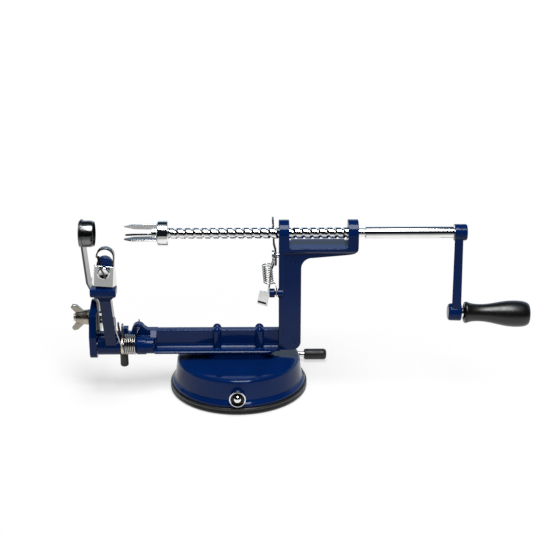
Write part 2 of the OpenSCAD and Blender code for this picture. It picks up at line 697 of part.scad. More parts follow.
// Cast arm: hub, leaning stem, cross bar and a tang for the blade
module peeler_arm() {
    u = unit([-arm_lean, arm_rise]);
    n = [u[1], -u[0]];
    root = [pivot_y, pivot_z];
    top = [head_y, head_z];
    color([0.05, 0.1, 0.36])
    difference() {
        union() {
            rod_x(upright_in + free, hub_right - upright_in - free, hub_d, pivot_y, pivot_z);
            push_x(arm_x - arm_w / 2, arm_w)
                polygon([root + 4.6 * n, top + 3.6 * n, top - 3.6 * n, root - 4.6 * n]);
            push_x(fin_x, fin_t)
                polygon([root + 6.6 * n + 2 * u, root + 3.6 * n + fin_l * u, root + 0.6 * n + fin_l * u,
                    root + 0.6 * n]);
            intersection() {
                push_x(head_x - bar_w / 2, bar_w) polygon(concat(
                    [[tang_back, head_z + 4.4], [tang_front - 3.6, head_z + 4.4]],
                    [[tang_front - 4.4, head_z + 3.6]], arc(tang_front - 2.2, head_z + 0.2, 2.2, 180, 270, 4),
                    arc(tang_back - 1.5, head_z - 2, 1.5, 270, 360, 3)));
                push_y(tang_front - 6, tang_back - tang_front + 8) polygon(concat(
                    arc(head_x - bar_w / 2 + 2.6, head_z + 0.1, 2.6, 180, 250, 4),
                    [[head_x - 2, head_z - 6], [head_x + 2, head_z - 6]],
                    arc(head_x + bar_w / 2 - 2.6, head_z + 0.1, 2.6, 290, 360, 4),
                    [[head_x + bar_w / 2, head_z + 6], [head_x - bar_w / 2, head_z + 6]]));
            }
            push_y(head_y - 2.4, 5.4) polygon(concat([[head_x - bar_w / 2 + 2.4, head_z - 1.8]],
                arc(arm_x - arm_w / 2 - 3.6, head_z - 6.6, 3.6, 90, 0),
                arc(arm_x + arm_w / 2 + 3.6, head_z - 6.6, 3.6, 180, 90),
                [[head_x + bar_w / 2 - 2.4, head_z - 1.8]]));
            at_head() {
                translate([arm_x - tang_w / 2, tang_front, head_z])
                    cube([tang_w, tang_back - tang_front, tang_h]);
                rod_y(tang_front, tang_back - tang_front, tang_w, arm_x, head_z + tang_h);
            }
        }
        rod_x(upright_in, hub_right - upright_in + 1, pivot_d + 2 * run, pivot_y, pivot_z);
        at_head() rod_y(tang_front - 1, tang_back - tang_front + 2, clamp_d, arm_x, clamp_z);
        rod_x(arm_right - 3.4, 4, arm_wire + 0.6, root[0] + leg_l * u[0], root[1] + leg_l * u[1]);
    }
}

// Centre line of the torsion spring: leg in the arm, coil, leg in the casting's hump
function arm_path() =
    let (u = unit([-arm_lean, arm_rise]), n = [-u[1], u[0]], r = coil_r, turns = 5,
        sweep = 360 * turns + 180 - atan2(-u[0], u[1]),
        left = coil_x + arm_wire / 2, right = boss_x - free - arm_wire / 2,
        leg_x = (arm_right + fin_x) / 2, count = 8 * turns + 4)
    concat(
        [for (q = [[-1.9, leg_l, 0], [-0.6, leg_l, 0], [-0.1, leg_l - 0.6, 0], [0, leg_l - 2, 0],
            [0, leg_l * 0.82, -1.2], [0, leg_l * 0.67, -3.2]])
            [leg_x + q[0], pivot_y + q[1] * u[0] + q[2] * -n[0], pivot_z + q[1] * u[1] + q[2] * -n[1]]],
        [for (q = [[0.3, leg_l * 0.515, -5.2], [0.75, leg_l * 0.27, 0.2 - coil_r]])
            [leg_x + (left - leg_x) * q[0], pivot_y + q[1] * u[0] + q[2] * -n[0],
                pivot_z + q[1] * u[1] + q[2] * -n[1]]],
        [for (i = [0 : count]) let (t = i / count, a = sweep * (1 - t))
            [left + (right - left) * t, pivot_y + r * cos(-a), coil_z + r * sin(-a)]],
        [[right - 0.1, pivot_y + r, coil_z + 3], [right - 0.1, pivot_y + r, hump_hole - 2.9],
            [right + 0.1, pivot_y + r + 0.3, hump_hole - 1], [hump_x - 0.1, -web_t / 2 - 3.8, hump_hole],
            [hump_x, 0, hump_hole], [hump_x, web_t / 2 + 1.4, hump_hole],
            [hump_x, web_t / 2 + 2.2, hump_hole + 0.8], [hump_x, web_t / 2 + 2.4, hump_hole + 2.2],
            [hump_x, web_t / 2 + 2.4, hump_hole + 4.2]]);
echo("arm_spring least gap", least_gap(arm_path(), arm_wire, 6));

module arm_spring() {
    color([0.75, 0.75, 0.77]) tube(arm_path(), arm_wire, 6, [0, 1, 0]);
}

// Steel strip on the pivot pin: a hook above, a finger end below
module latch_lever() {
    half = latch_w / 2;
    color([0.7, 0.68, 0.62])
    difference() {
        push_x(latch_x, latch_t) translate([pivot_y, pivot_z]) polygon(concat(
            [[-half, -latch_drop], [half, -latch_drop], [half, -latch_d / 2]],
            arc(0, 0, latch_d / 2, -70, 62, 14),
            [[latch_d * 0.34, hook_h - 3.2], [latch_d * 0.46, hook_h - 1.6]],
            [[latch_d * 0.31, hook_h], [latch_d * 0.06, hook_h - 0.8]], arc(0, 0, latch_d / 2, 108, 250, 14),
            [[-half, -latch_d / 2]]));
        rod_x(latch_x - 1, latch_t + 2, pivot_d + 2 * run, pivot_y, pivot_z);
    }
}

// Black vinyl cap on the latch's finger end
module latch_tip() {
    color([0.07, 0.07, 0.08])
    difference() {
        translate([latch_x + latch_t / 2 + 0.8, pivot_y, pivot_z - latch_drop - 1])
            cylinder(d = latch_w + 2.4, h = latch_drop - latch_d / 2 - 1.4);
        translate([latch_x, pivot_y - latch_w / 2, pivot_z - latch_drop])
            cube([latch_t, latch_w, latch_drop]);
    }
}

// Looped peeling blade, an upside-down U with its edge towards the food
module peel_blade() {
    out = loop_w / 2;
    in = tang_w / 2 + 0.03;
    top = head_z + tang_h + 5.5;
    color([0.7, 0.7, 0.72])
    at_head() push_y(tang_front + 1.7, 5.4) translate([arm_x, 0]) {
        difference() {
            union() {
                translate([-out, head_z + 7]) square([loop_w, top - head_z - 7]);
                translate([0, top]) circle(r = out);
            }
            translate([-in, head_z + 6]) square([2 * in, top - head_z - 6]);
            translate([0, top]) circle(r = in);
        }
    }
}

// Pressed cover with slanted, tapering sides that clamps the blade on the tang
module blade_clamp() {
    front = tang_front - 1.4;
    half = tang_w / 2 + 1.1;
    low = head_z + 6;
    high = clamp_z + 4.6;
    color([0.78, 0.78, 0.8])
    at_head() difference() {
        intersection() {
            translate([arm_x, 0, low]) linear_extrude(high - low)
                polygon([[-half, front], [half, front], [half + 2.4, front + 5], [half + 1.2, front + 5],
                    [half - 0.6, front + 1.4], [-half + 0.6, front + 1.4], [-half - 1.2, front + 5],
                    [-half - 2.4, front + 5]]);
            push_y(front - 1, 8) translate([arm_x, 0]) polygon([[-half - 2.6, low - 1], [half + 2.6, low - 1],
                [half + 0.8, high - 0.9], [half - 0.1, high + 0.1], [0.1 - half, high + 0.1],
                [-half - 0.8, high - 0.9]]);
        }
        rod_y(front - 1, 6, clamp_d, arm_x, clamp_z);
    }
}

// Dome-headed screw through cover and tang
module clamp_screw() {
    front = tang_front - 1.4;
    head = clamp_d * 1.2;
    dome = [[0, 0], [head, 0], [head * 0.98, 0.9], [head * 0.86, 2], [head * 0.6, 2.9],
        [head * 0.3, 3.3], [0, 3.4]];
    color([0.78, 0.78, 0.8]) at_head() {
        translate([arm_x, front, clamp_z]) rotate([90, 0, 0]) rotate_extrude() polygon(dome);
        rod_y(front - 1, tang_back - front + 4.4, clamp_d, arm_x, clamp_z);
    }
}

// Six-sided nut behind the tang
module clamp_nut() {
    color([0.6, 0.6, 0.62])
    at_head() difference() {
        translate([arm_x, tang_back, clamp_z]) rotate([-90, 0, 0])
            cylinder(d = 2 * clamp_d, h = 3.2, $fn = 6);
        rod_y(tang_back - 1, 6, clamp_d, arm_x, clamp_z);
    }
}

// Slicing strip, bent away above the upright, with a round eye for the coring ring
module slicer_strip() {
    half = strip_t / 2;
    line = [[strip_x, bolt_z - strip_low], [strip_x, bolt_z + strip_bend],
        [upright_x - strip_out * 0.2, bolt_z + 2 * strip_bend + 1],
        [upright_x - strip_out * 0.84, shaft_z - corer_d * 0.44],
        [upright_x - strip_out, shaft_z + corer_d * 0.7]];
    side = concat([for (p = line) [p[0] - half, p[1]]],
        [for (i = [len(line) - 1 : -1 : 0]) [line[i][0] + half, line[i][1]]]);
    color([0.7, 0.7, 0.72])
    difference() {
        intersection() {
            push_y(-20, 40) polygon(side);
            push_x(upright_x - 16, 40) union() {
                intersection() {
                    translate([-strip_w / 2, bolt_z - strip_low]) square([strip_w, strip_low + 8]);
                    translate([0, bolt_z]) circle(r = strip_low * 0.8);
                }
                translate([-strip_w / 2, bolt_z]) square([strip_w, shaft_z - bolt_z]);
                translate([0, shaft_z]) circle(r = corer_d / 2 + 1);
            }
        }
        rod_x(upright_x - 16, 40, corer_d, 0, shaft_z);
        rod_x(strip_x - 3, 6, bolt_d + 2 * run, 0, bolt_z);
    }
}

// Coring ring with a sharpened rim towards the food
module corer_ring() {
    out = corer_d / 2;
    color([0.7, 0.7, 0.72])
    translate([ring_x, 0, shaft_z]) rotate([0, 90, 0]) rotate_extrude()
        polygon([[out - 1, 0], [out, 0], [out, corer_l - 2.4], [out - 0.8, corer_l], [out - 1, corer_l]]);
}

// Bolt that clamps the strip on the upright
module slicer_bolt() {
    color([0.75, 0.75, 0.77]) {
        rod_x(strip_x + strip_t / 2 + run, 3.2, bolt_d + 4, 0, bolt_z);
        rod_x(upright_x - bolt_l, bolt_l + strip_x + strip_t / 2 + 1 - upright_x, bolt_d, 0, bolt_z);
    }
}

// Washer between wing nut and upright
module slicer_washer() {
    color([0.75, 0.75, 0.77])
    difference() {
        rod_x(upright_x - 1.2, 1.2, 2 * bolt_d + 1, 0, bolt_z);
        rod_x(upright_x - 2, 3, bolt_d, 0, bolt_z);
    }
}

// Wing nut with two swept wings
module wing_nut() {
    seat = upright_x - 1.5;
    wing = [[seat - 2, 3], [seat - wing_l * 0.47, 6], [seat - wing_l * 0.89, 10.2],
        [seat - wing_l * 1.19, 10.8], [seat - wing_l * 1.34, 8.6], [seat - wing_l * 1.08, 5.2],
        [seat - wing_l * 0.9, 3]];
    color([0.6, 0.58, 0.52])
    difference() {
        union() {
            translate([seat, 0, bolt_z]) rotate([0, -90, 0])
                cylinder(d1 = 2 * bolt_d + 0.4, d2 = bolt_d + 3.4, h = wing_l);
            translate([0, 0, bolt_z]) for (side = [0, 180]) rotate([side, 0, 0])
                push_y(-1.5, 3) polygon(wing);
        }
        rod_x(seat - wing_l - 6, wing_l + 8, bolt_d + 2 * run, 0, bolt_z);
    }
}

base_housing();
suction_pad();
pad_stud();
lever_rod();
lever_cam();
lever_grip();
axle_cap();
base_screws();
frame();
feed_screw();
shank_sleeve();
fork();
fork_nut();
crank_arm();
crank_pin();
grip_pin();
crank_grip();
release_lever();
release_screw();
release_spring();
arm_pin();
peeler_arm();
arm_spring();
latch_lever();
latch_tip();
peel_blade();
blade_clamp();
clamp_screw();
clamp_nut();
slicer_strip();
corer_ring();
slicer_bolt();
slicer_washer();
wing_nut();
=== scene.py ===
"""Looks of a hand-cranked fruit peeler: enamelled castings, chrome, springs and a studio stage."""

import json
import math

import bmesh
import bpy
from bpy.props import FloatProperty, FloatVectorProperty, IntProperty, PointerProperty
from mathutils import Matrix, Vector
from mathutils.kdtree import KDTree


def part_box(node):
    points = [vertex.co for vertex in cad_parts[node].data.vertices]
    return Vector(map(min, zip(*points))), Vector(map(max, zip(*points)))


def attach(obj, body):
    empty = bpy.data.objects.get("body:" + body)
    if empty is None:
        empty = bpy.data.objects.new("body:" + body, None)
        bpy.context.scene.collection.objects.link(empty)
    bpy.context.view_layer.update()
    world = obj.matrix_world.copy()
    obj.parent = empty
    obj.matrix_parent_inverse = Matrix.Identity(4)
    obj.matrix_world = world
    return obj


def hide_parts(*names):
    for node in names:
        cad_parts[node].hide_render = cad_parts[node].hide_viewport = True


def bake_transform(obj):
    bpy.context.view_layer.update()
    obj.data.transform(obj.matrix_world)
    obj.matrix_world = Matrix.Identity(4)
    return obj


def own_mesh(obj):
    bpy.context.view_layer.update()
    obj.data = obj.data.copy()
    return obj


bl_info = {
    "name": "Fruit Peeler Looks",
    "version": (1, 0, 0),
    "blender": (4, 5, 0),
    "location": "3D View > Sidebar > Peeler",
    "description": "Dresses the packed peeler in enamel, chrome, rubber and steel, and sets its stage",
    "category": "Object",
}

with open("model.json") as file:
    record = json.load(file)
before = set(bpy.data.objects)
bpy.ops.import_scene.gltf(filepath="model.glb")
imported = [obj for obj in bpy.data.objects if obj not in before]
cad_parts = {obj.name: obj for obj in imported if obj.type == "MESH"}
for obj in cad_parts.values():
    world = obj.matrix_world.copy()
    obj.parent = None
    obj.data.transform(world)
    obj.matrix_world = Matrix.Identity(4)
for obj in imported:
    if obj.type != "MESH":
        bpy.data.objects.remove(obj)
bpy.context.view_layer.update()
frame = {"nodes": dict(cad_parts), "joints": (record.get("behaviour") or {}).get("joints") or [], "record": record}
MM = 0.001
ALONG_X = Matrix.Identity(3)
TOWARDS_VIEWER = Matrix.Rotation(-math.pi / 2, 3, "Z")
ALONG_Z = Matrix.Rotation(-math.pi / 2, 3, "Y")

# Closeness in millimetres: of points that meet, of short edges to take out, of points on one face
WELD = 0.0005
SLIVER = 0.002
ON_FACE = 0.05

# Where in its range a noise starts and stops to change a colour or a gloss
COLOUR_STOPS = (0.32, 0.68)
GLOSS_STOPS = (0.3, 0.7)


def span(node):
    """Lowest and highest corner of a CAD node, in millimetres."""
    low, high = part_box(node)
    return low / MM, high / MM


def middle(node):
    """Centre of a CAD node's box, in millimetres."""
    low, high = span(node)
    return (low + high) / 2


class PeelerSizes(bpy.types.PropertyGroup):
    """Sizes that the CAD boxes do not give, in millimetres."""

    casting_round: FloatProperty(
        name="Casting round", description="Radius of the castings' edges", default=0.55, min=0.2, max=1.5)
    thread_pitch: FloatProperty(
        name="Thread pitch", description="Advance of the screw in one turn", default=6.35, min=5, max=8)
    thread_depth: FloatProperty(
        name="Thread depth", description="Depth of the helical groove", default=1.1, min=0.5, max=1.5)
    groove_share: FloatProperty(
        name="Groove share", description="Share of the pitch that the groove takes", default=0.36,
        min=0.2, max=0.6, subtype="FACTOR")
    arm_wire: FloatProperty(
        name="Arm spring wire", description="Wire of the torsion spring", default=1.0, min=0.8, max=1.4)
    release_wire: FloatProperty(
        name="Release spring wire", description="Wire of the extension spring", default=0.95,
        min=0.6, max=1.2)
    release_turns: IntProperty(
        name="Release spring turns", description="Turns of the extension spring", default=8, min=6, max=10)
    arm_turns: IntProperty(
        name="Arm spring turns", description="Whole turns of the torsion spring", default=6, min=5, max=7)
    grip_droop: FloatProperty(
        name="Grip droop", description="Tilt of the crank grip's axis", default=math.radians(2),
        subtype="ANGLE")


class PeelerFinish(bpy.types.PropertyGroup):
    """Colours of the finishes, linear."""

    enamel: FloatVectorProperty(
        name="Enamel", description="Deep blue stove enamel", subtype="COLOR",
        default=(0.0009, 0.0145, 0.09))
    chrome: FloatVectorProperty(
        name="Chrome", description="Bright plating", subtype="COLOR", default=(0.84, 0.84, 0.83))
    spring: FloatVectorProperty(
        name="Spring wire", description="Drawn spring steel", subtype="COLOR", default=(0.5, 0.49, 0.46))
    nickel: FloatVectorProperty(
        name="Nickel", description="Warm plating of the wing nut", subtype="COLOR",
        default=(0.36, 0.33, 0.27))
    latch: FloatVectorProperty(
        name="Latch", description="Yellow passivated strip", subtype="COLOR", default=(0.66, 0.58, 0.42))
    # Painted dark reflection: colour painted on the release lever's upper part, standing in for the dark that its
    # plating reflects
    painted_dark_reflection: FloatVectorProperty(
        name="Painted dark reflection", description="Dark reflection painted on the lever's upper part", subtype="COLOR",
        default=(0.09, 0.088, 0.085))
    zinc: FloatVectorProperty(
        name="Zinc", description="Duller plated steel", subtype="COLOR", default=(0.5, 0.48, 0.43))
    blade: FloatVectorProperty(
        name="Blade steel", description="Ground stainless steel", subtype="COLOR",
        default=(0.17, 0.17, 0.17))
    rubber: FloatVectorProperty(
        name="Rubber", description="Black suction rubber", subtype="COLOR", default=(0.011, 0.011, 0.012))
    vinyl: FloatVectorProperty(
        name="Vinyl", description="Black dipped vinyl", subtype="COLOR", default=(0.013, 0.013, 0.016))
    moulding: FloatVectorProperty(
        name="Moulding", description="Black moulded crank grip", subtype="COLOR",
        default=(0.005, 0.005, 0.005))


class PeelerStage(bpy.types.PropertyGroup):
    """Camera, light and floor."""

    camera_place: FloatVectorProperty(
        name="Camera place", description="Where the camera stands", subtype="TRANSLATION", unit="LENGTH",
        default=(0.01847, -0.84382, 0.41288))
    camera_target: FloatVectorProperty(
        name="Camera target", description="Point that the camera looks at", subtype="TRANSLATION",
        unit="LENGTH", default=(0.0223, 0.0, 0.0999))
    camera_roll: FloatProperty(
        name="Camera roll", description="Turn of the camera about its line of sight",
        default=math.radians(-0.15), subtype="ANGLE")
    camera_lens: FloatProperty(
        name="Lens", description="Focal length on a 36 mm wide sensor", default=79.1,
        subtype="DISTANCE_CAMERA")
    softbox_power: FloatProperty(
        name="Softbox power", description="Light of the large box above the front", default=31.5,
        subtype="POWER")
    room_fill: FloatProperty(
        name="Room fill", description="Light that comes from all round", default=0.24, min=0.0, max=1.0)
    floor_lift: FloatProperty(
        name="Floor lift", description="White added to the floor as it is seen", default=0.6,
        min=0.0, max=1.0)
    floor_shade: FloatProperty(
        name="Floor shade", description="Diffuse white of the floor", default=0.4, min=0.0, max=1.0)


def sizes():
    """The sizes that a user may change."""
    return bpy.context.scene.peeler_sizes


def finish():
    """The colours that a user may change."""
    return bpy.context.scene.peeler_finish


def stage_values():
    """The camera, light and floor that a user may change."""
    return bpy.context.scene.peeler_stage


# Shader nodes

def add_node(tree, kind, values=None, feeds=None, **settings):
    """Adds a node with its settings, the even values of its sockets and what feeds them."""
    node = tree.nodes.new(kind)
    for name, setting in settings.items():
        setattr(node, name, setting)
    for socket, value in (values or {}).items():
        node.inputs[socket].default_value = value
    for socket, feed in (feeds or {}).items():
        tree.links.new(feed, node.inputs[socket])
    return node


def band(tree, value, start, stop, low, high, course="SMOOTHSTEP"):
    """Goes from low to high while a value goes from its start to its stop."""
    values = {"From Min": start, "From Max": stop, "To Min": low, "To Max": high}
    node = add_node(tree, "ShaderNodeMapRange", values, {"Value": value}, interpolation_type=course)
    return node.outputs["Result"]


def combined(tree, operation, *terms):
    """Outputs and plain numbers put together by one sum, product or the like."""
    node = add_node(tree, "ShaderNodeMath", operation=operation)
    for socket, term in zip(node.inputs, terms):
        if isinstance(term, bpy.types.NodeSocket):
            tree.links.new(term, socket)
        else:
            socket.default_value = term
    return node.outputs[0]


def object_place(tree):
    """The place of a point in its piece's own coordinates."""
    return add_node(tree, "ShaderNodeTexCoord").outputs["Object"]


def ray_mask(tree):
    """One where a ray comes from the camera, from gloss or through glass."""
    path = add_node(tree, "ShaderNodeLightPath")
    seen = path.outputs["Is Camera Ray"]
    for name in ("Is Glossy Ray", "Is Transmission Ray"):
        seen = combined(tree, "MAXIMUM", seen, path.outputs[name])
    return seen


def socket_of(material, name):
    """A socket of a material's main shader."""
    return material.node_tree.nodes["Principled BSDF"].inputs[name]


# Materials

def new_shader(name, colour, values):
    """A Principled material with its even values set on the shader's own sockets."""
    material = bpy.data.materials.new(name)
    material.use_nodes = True
    socket_of(material, "Base Color").default_value = (*colour, 1)
    for socket, value in values.items():
        socket_of(material, socket).default_value = value
    return material


def add_noise(tree, scale, grain=(1, 1, 1), detail=3.0):
    """Noise on the piece's own coordinates, stretched for a grain that runs one way."""
    mapping = add_node(tree, "ShaderNodeMapping", {"Scale": grain}, {"Vector": object_place(tree)})
    values = {"Scale": scale, "Detail": detail}
    noise = add_node(tree, "ShaderNodeTexNoise", values, {"Vector": mapping.outputs["Vector"]})
    return noise.outputs["Fac"]


def vary_colour(material, scale, dark, light):
    """The base colour drifts between two shares of itself."""
    tree = material.node_tree
    base = socket_of(material, "Base Color")
    colour = Vector(base.default_value[:3])
    ramp = add_node(tree, "ShaderNodeValToRGB", feeds={"Fac": add_noise(tree, scale)})
    for stop, place, share in zip(ramp.color_ramp.elements, COLOUR_STOPS, (dark, light)):
        stop.position = place
        stop.color = (*(colour * share), 1)
    tree.links.new(ramp.outputs["Color"], base)


def vary_gloss(material, scale, smooth, rough, grain=(1, 1, 1)):
    """The roughness drifts between two values."""
    tree = material.node_tree
    start, stop = GLOSS_STOPS
    drift = band(tree, add_noise(tree, scale, grain), start, stop, smooth, rough, "LINEAR")
    tree.links.new(drift, socket_of(material, "Roughness"))


def add_bump(material, scale, strength, depth, grain=(1, 1, 1), detail=3.0):
    """Fine relief, with its depth in millimetres."""
    tree = material.node_tree
    values = {"Strength": strength, "Distance": depth * MM}
    bump = add_node(tree, "ShaderNodeBump", values, {"Height": add_noise(tree, scale, grain, detail)})
    tree.links.new(bump.outputs["Normal"], socket_of(material, "Normal"))


def make_enamel():
    """Thick glossy enamel with a faint ripple."""
    material = new_shader("blue_enamel", finish().enamel, {
        "Roughness": 0.09, "Specular IOR Level": 0.2, "Specular Tint": (0.86, 0.93, 1, 1)})
    vary_colour(material, scale=55, dark=0.9, light=1.1)
    vary_gloss(material, scale=90, smooth=0.075, rough=0.11)
    add_bump(material, scale=130, strength=0.1, depth=0.05, detail=1.0)
    return material


def make_chrome():
    """Bright plating with faint handling marks."""
    material = new_shader("chrome_plate", finish().chrome, {"Metallic": 1, "Roughness": 0.07})
    vary_colour(material, scale=90, dark=0.94, light=1.04)
    vary_gloss(material, scale=260, smooth=0.05, rough=0.08)
    add_bump(material, scale=500, strength=0.02, depth=0.01)
    return material


def make_spring():
    """Drawn wire with fine marks."""
    material = new_shader("spring_wire", finish().spring, {"Metallic": 1, "Roughness": 0.2})
    vary_colour(material, scale=400, dark=0.85, light=1.1)
    vary_gloss(material, scale=900, smooth=0.14, rough=0.28)
    add_bump(material, scale=1800, strength=0.05, depth=0.02)
    return material


def make_nickel():
    """Warm nickel on the wing nut, with the grain of a casting."""
    material = new_shader("warm_nickel", finish().nickel, {"Metallic": 1, "Roughness": 0.26})
    vary_colour(material, scale=220, dark=0.85, light=1.12)
    vary_gloss(material, scale=450, smooth=0.2, rough=0.34)
    add_bump(material, scale=700, strength=0.1, depth=0.05)
    return material


def make_latch():
    """Yellow passivated strip with rolling marks."""
    material = new_shader("yellow_zinc", finish().latch, {"Metallic": 1, "Roughness": 0.3})
    vary_colour(material, scale=160, dark=0.8, light=1.15)
    vary_gloss(material, scale=600, smooth=0.22, rough=0.38, grain=(1, 1, 0.1))
    add_bump(material, scale=1400, strength=0.06, depth=0.02, grain=(1, 1, 0.08))
    return material


def make_release():
    """Plated lever, bright at its finger tab, with a painted dark reflection in its colour from just below its
    pivot upwards, round the screw.
    """
    waver = 0.006
    below_pivot = 0.02
    fade = 0.008
    material = new_shader("plate_with_painted_dark_reflection", finish().chrome, {"Metallic": 1, "Roughness": 0.12})
    tree = material.node_tree
    height = add_node(tree, "ShaderNodeSeparateXYZ", feeds={0: object_place(tree)}).outputs["Z"]
    edge = combined(tree, "MULTIPLY_ADD", add_noise(tree, scale=300), waver, height)
    # Height above which the lever's colour turns to the painted dark reflection
    tab = joint_place("release_press").z * MM - below_pivot
    ramp = add_node(tree, "ShaderNodeValToRGB", feeds={"Fac": band(tree, edge, tab, tab + fade, 0, 1)})
    for stop, colour in zip(ramp.color_ramp.elements, (finish().chrome, finish().painted_dark_reflection)):
        stop.color = (*colour, 1)
    tree.links.new(ramp.outputs["Color"], socket_of(material, "Base Color"))
    vary_gloss(material, scale=500, smooth=0.09, rough=0.2)
    add_bump(material, scale=900, strength=0.03, depth=0.01)
    return material


def make_zinc():
    """Duller, slightly warm plating on fasteners."""
    material = new_shader("zinc_plate", finish().zinc, {"Metallic": 1, "Roughness": 0.28})
    vary_colour(material, scale=260, dark=0.82, light=1.15)
    vary_gloss(material, scale=500, smooth=0.2, rough=0.36)
    add_bump(material, scale=1300, strength=0.1, depth=0.03)
    return material


def make_blade():
    """Stainless steel with fine grinding lines."""
    lines = (1, 1, 0.2)
    material = new_shader("ground_steel", finish().blade, {"Metallic": 1, "Roughness": 0.2})
    vary_colour(material, scale=120, dark=0.9, light=1.08)
    vary_gloss(material, scale=500, smooth=0.14, rough=0.22, grain=lines)
    add_bump(material, scale=900, strength=0.02, depth=0.01, grain=lines)
    return material


def make_rubber():
    """Black rubber with a dusty, finely grained skin."""
    material = new_shader("pad_rubber", finish().rubber, {"Roughness": 0.4, "Specular IOR Level": 0.5})
    vary_colour(material, scale=180, dark=0.75, light=1.3)
    vary_gloss(material, scale=350, smooth=0.3, rough=0.46)
    add_bump(material, scale=2600, strength=0.12, depth=0.04)
    return material


def make_vinyl():
    """Dipped vinyl, soft and slightly shiny."""
    material = new_shader("dipped_vinyl", finish().vinyl, {"Roughness": 0.42, "Specular IOR Level": 0.45})
    vary_colour(material, scale=300, dark=0.85, light=1.2)
    vary_gloss(material, scale=520, smooth=0.34, rough=0.5)
    add_bump(material, scale=1900, strength=0.14, depth=0.05)
    return material


def make_moulding():
    """Satin moulded grip with a fine eroded texture."""
    material = new_shader("satin_moulding", finish().moulding, {
        "Roughness": 0.3, "Specular IOR Level": 0.55})
    vary_colour(material, scale=140, dark=0.85, light=1.15)
    vary_gloss(material, scale=380, smooth=0.26, rough=0.34)
    add_bump(material, scale=2200, strength=0.12, depth=0.05)
    return material


MAKERS = {
    "enamel": make_enamel, "chrome": make_chrome, "steel": make_zinc, "blade": make_blade,
    "rubber": make_rubber, "vinyl": make_vinyl, "grip": make_moulding, "spring": make_spring,
    "nickel": make_nickel, "latch": make_latch, "release": make_release,
}


def material_for(look):
    """The material of a finish, made once."""
    kept = bpy.context.scene.get("peeler_" + look)
    if kept is None:
        kept = MAKERS[look]()
        bpy.context.scene["peeler_" + look] = kept
    return kept


# Mesh helpers, in millimetres

def angles(first, last):
    """Angles from one multiple of 15 degrees to another, in radians."""
    return [math.radians(15 * i) for i in range(first, last + 1)]


def arc(x, y, radius, start, stop, count):
    """Points of a circular arc, angles in degrees."""
    turn = [math.radians(start + (stop - start) * i / count) for i in range(count + 1)]
    return [(x + radius * math.cos(a), y + radius * math.sin(a)) for a in turn]


def everything(bm):
    """All points, edges and faces of a shape."""
    return bm.verts[:] + bm.edges[:] + bm.faces[:]


def turned(profile, steps, closed=False):
    """A shape turned about X from points of place along X and radius."""
    bm = bmesh.new()
    points = [bm.verts.new((along, 0, radius)) for along, radius in profile]
    edges = [bm.edges.new(pair) for pair in zip(points, points[1:])]
    if closed:
        edges.append(bm.edges.new((points[-1], points[0])))
    bmesh.ops.spin(bm, geom=points + edges, cent=(0, 0, 0), axis=(1, 0, 0), angle=2 * math.pi,
                   steps=steps, use_merge=True)
    bmesh.ops.remove_doubles(bm, verts=bm.verts, dist=WELD)
    bmesh.ops.recalc_face_normals(bm, faces=bm.faces)
    return bm


def folded_places(bm):
    """Where a face turns back over its neighbour or over itself."""
    sharpest = math.radians(140)
    smallest = 0.004
    places = []
    for edge in bm.edges:
        if len(edge.link_faces) == 2 and edge.calc_face_angle(0) > sharpest:
            places += [vert.co.copy() for vert in edge.verts]
    for corners in bm.calc_loop_triangles():
        first, second, third = (corner.vert.co for corner in corners)
        normal = (second - first).cross(third - first)
        if normal.length > smallest and normal.dot(corners[0].face.normal) < 0:
            places += [first.copy(), second.copy(), third.copy()]
    return places


def beside(bm, edges, places, reach):
    """Those of some edges, by number, that end near one of some places, or else pass near one."""
    further = 3 * reach
    tree = KDTree(len(places))
    for number, place in enumerate(places):
        tree.insert(place, number)
    tree.balance()
    near = {i for i in edges if min(tree.find(vert.co)[2] for vert in bm.edges[i].verts) < reach}
    if near:
        return near
    middles = {i: sum((vert.co for vert in bm.edges[i].verts), Vector()) / 2 for i in edges}
    return {i for i in edges if tree.find(middles[i])[2] < further}


def rounded_once(bm, width, segments, angle, inside):
    """Rounds the sharp edges to one width, apart from those whose rounding would fold over."""
    reach = 1.3 * width
    bm.edges.index_update()
    bm.edges.ensure_lookup_table()
    kept = {e.index for e in bm.edges if e.is_manifold and e.calc_face_angle(0) > math.radians(angle)
            and max(v.co.xy.length for v in e.verts) >= inside}
    before = len(folded_places(bm))
    while kept:
        trial = bm.copy()
        trial.edges.ensure_lookup_table()
        bmesh.ops.bevel(trial, geom=[trial.edges[i] for i in kept], offset=width, offset_type="OFFSET",
                        affect="EDGES", segments=segments, profile=0.5, material=-1, clamp_overlap=False)
        places = folded_places(trial)
        dropped = beside(bm, kept, places, reach) if len(places) > before else set()
        if not dropped:
            bm.free()
            return trial
        trial.free()
        kept -= dropped
    return bm


def round_edges(bm, width, segments=3, angle=32, inside=0):
    """Rounds the edges that are sharper than an angle, from a radius outwards, narrow ones less."""
    for share in (1, 0.5, 0.25):
        bm = rounded_once(bm, width * share, segments, angle, inside)
    bmesh.ops.remove_doubles(bm, verts=bm.verts, dist=SLIVER)
    bmesh.ops.dissolve_degenerate(bm, dist=SLIVER, edges=bm.edges)
    return bm


def moved(bm, place=(0, 0, 0), turn=ALONG_X):
    """Turns a shape about the origin and moves it to its place."""
    matrix = Matrix.Translation(Vector(place)) @ turn.to_4x4()
    bmesh.ops.transform(bm, matrix=matrix, verts=bm.verts)
    return bm


def joined(shapes):
    """Several shapes as the separate shells of one."""
    whole = bmesh.new()
    for bm in shapes:
        part = bpy.data.meshes.new("part")
        bm.to_mesh(part)
        bm.free()
        whole.from_mesh(part)
        bpy.data.meshes.remove(part)
    return whole


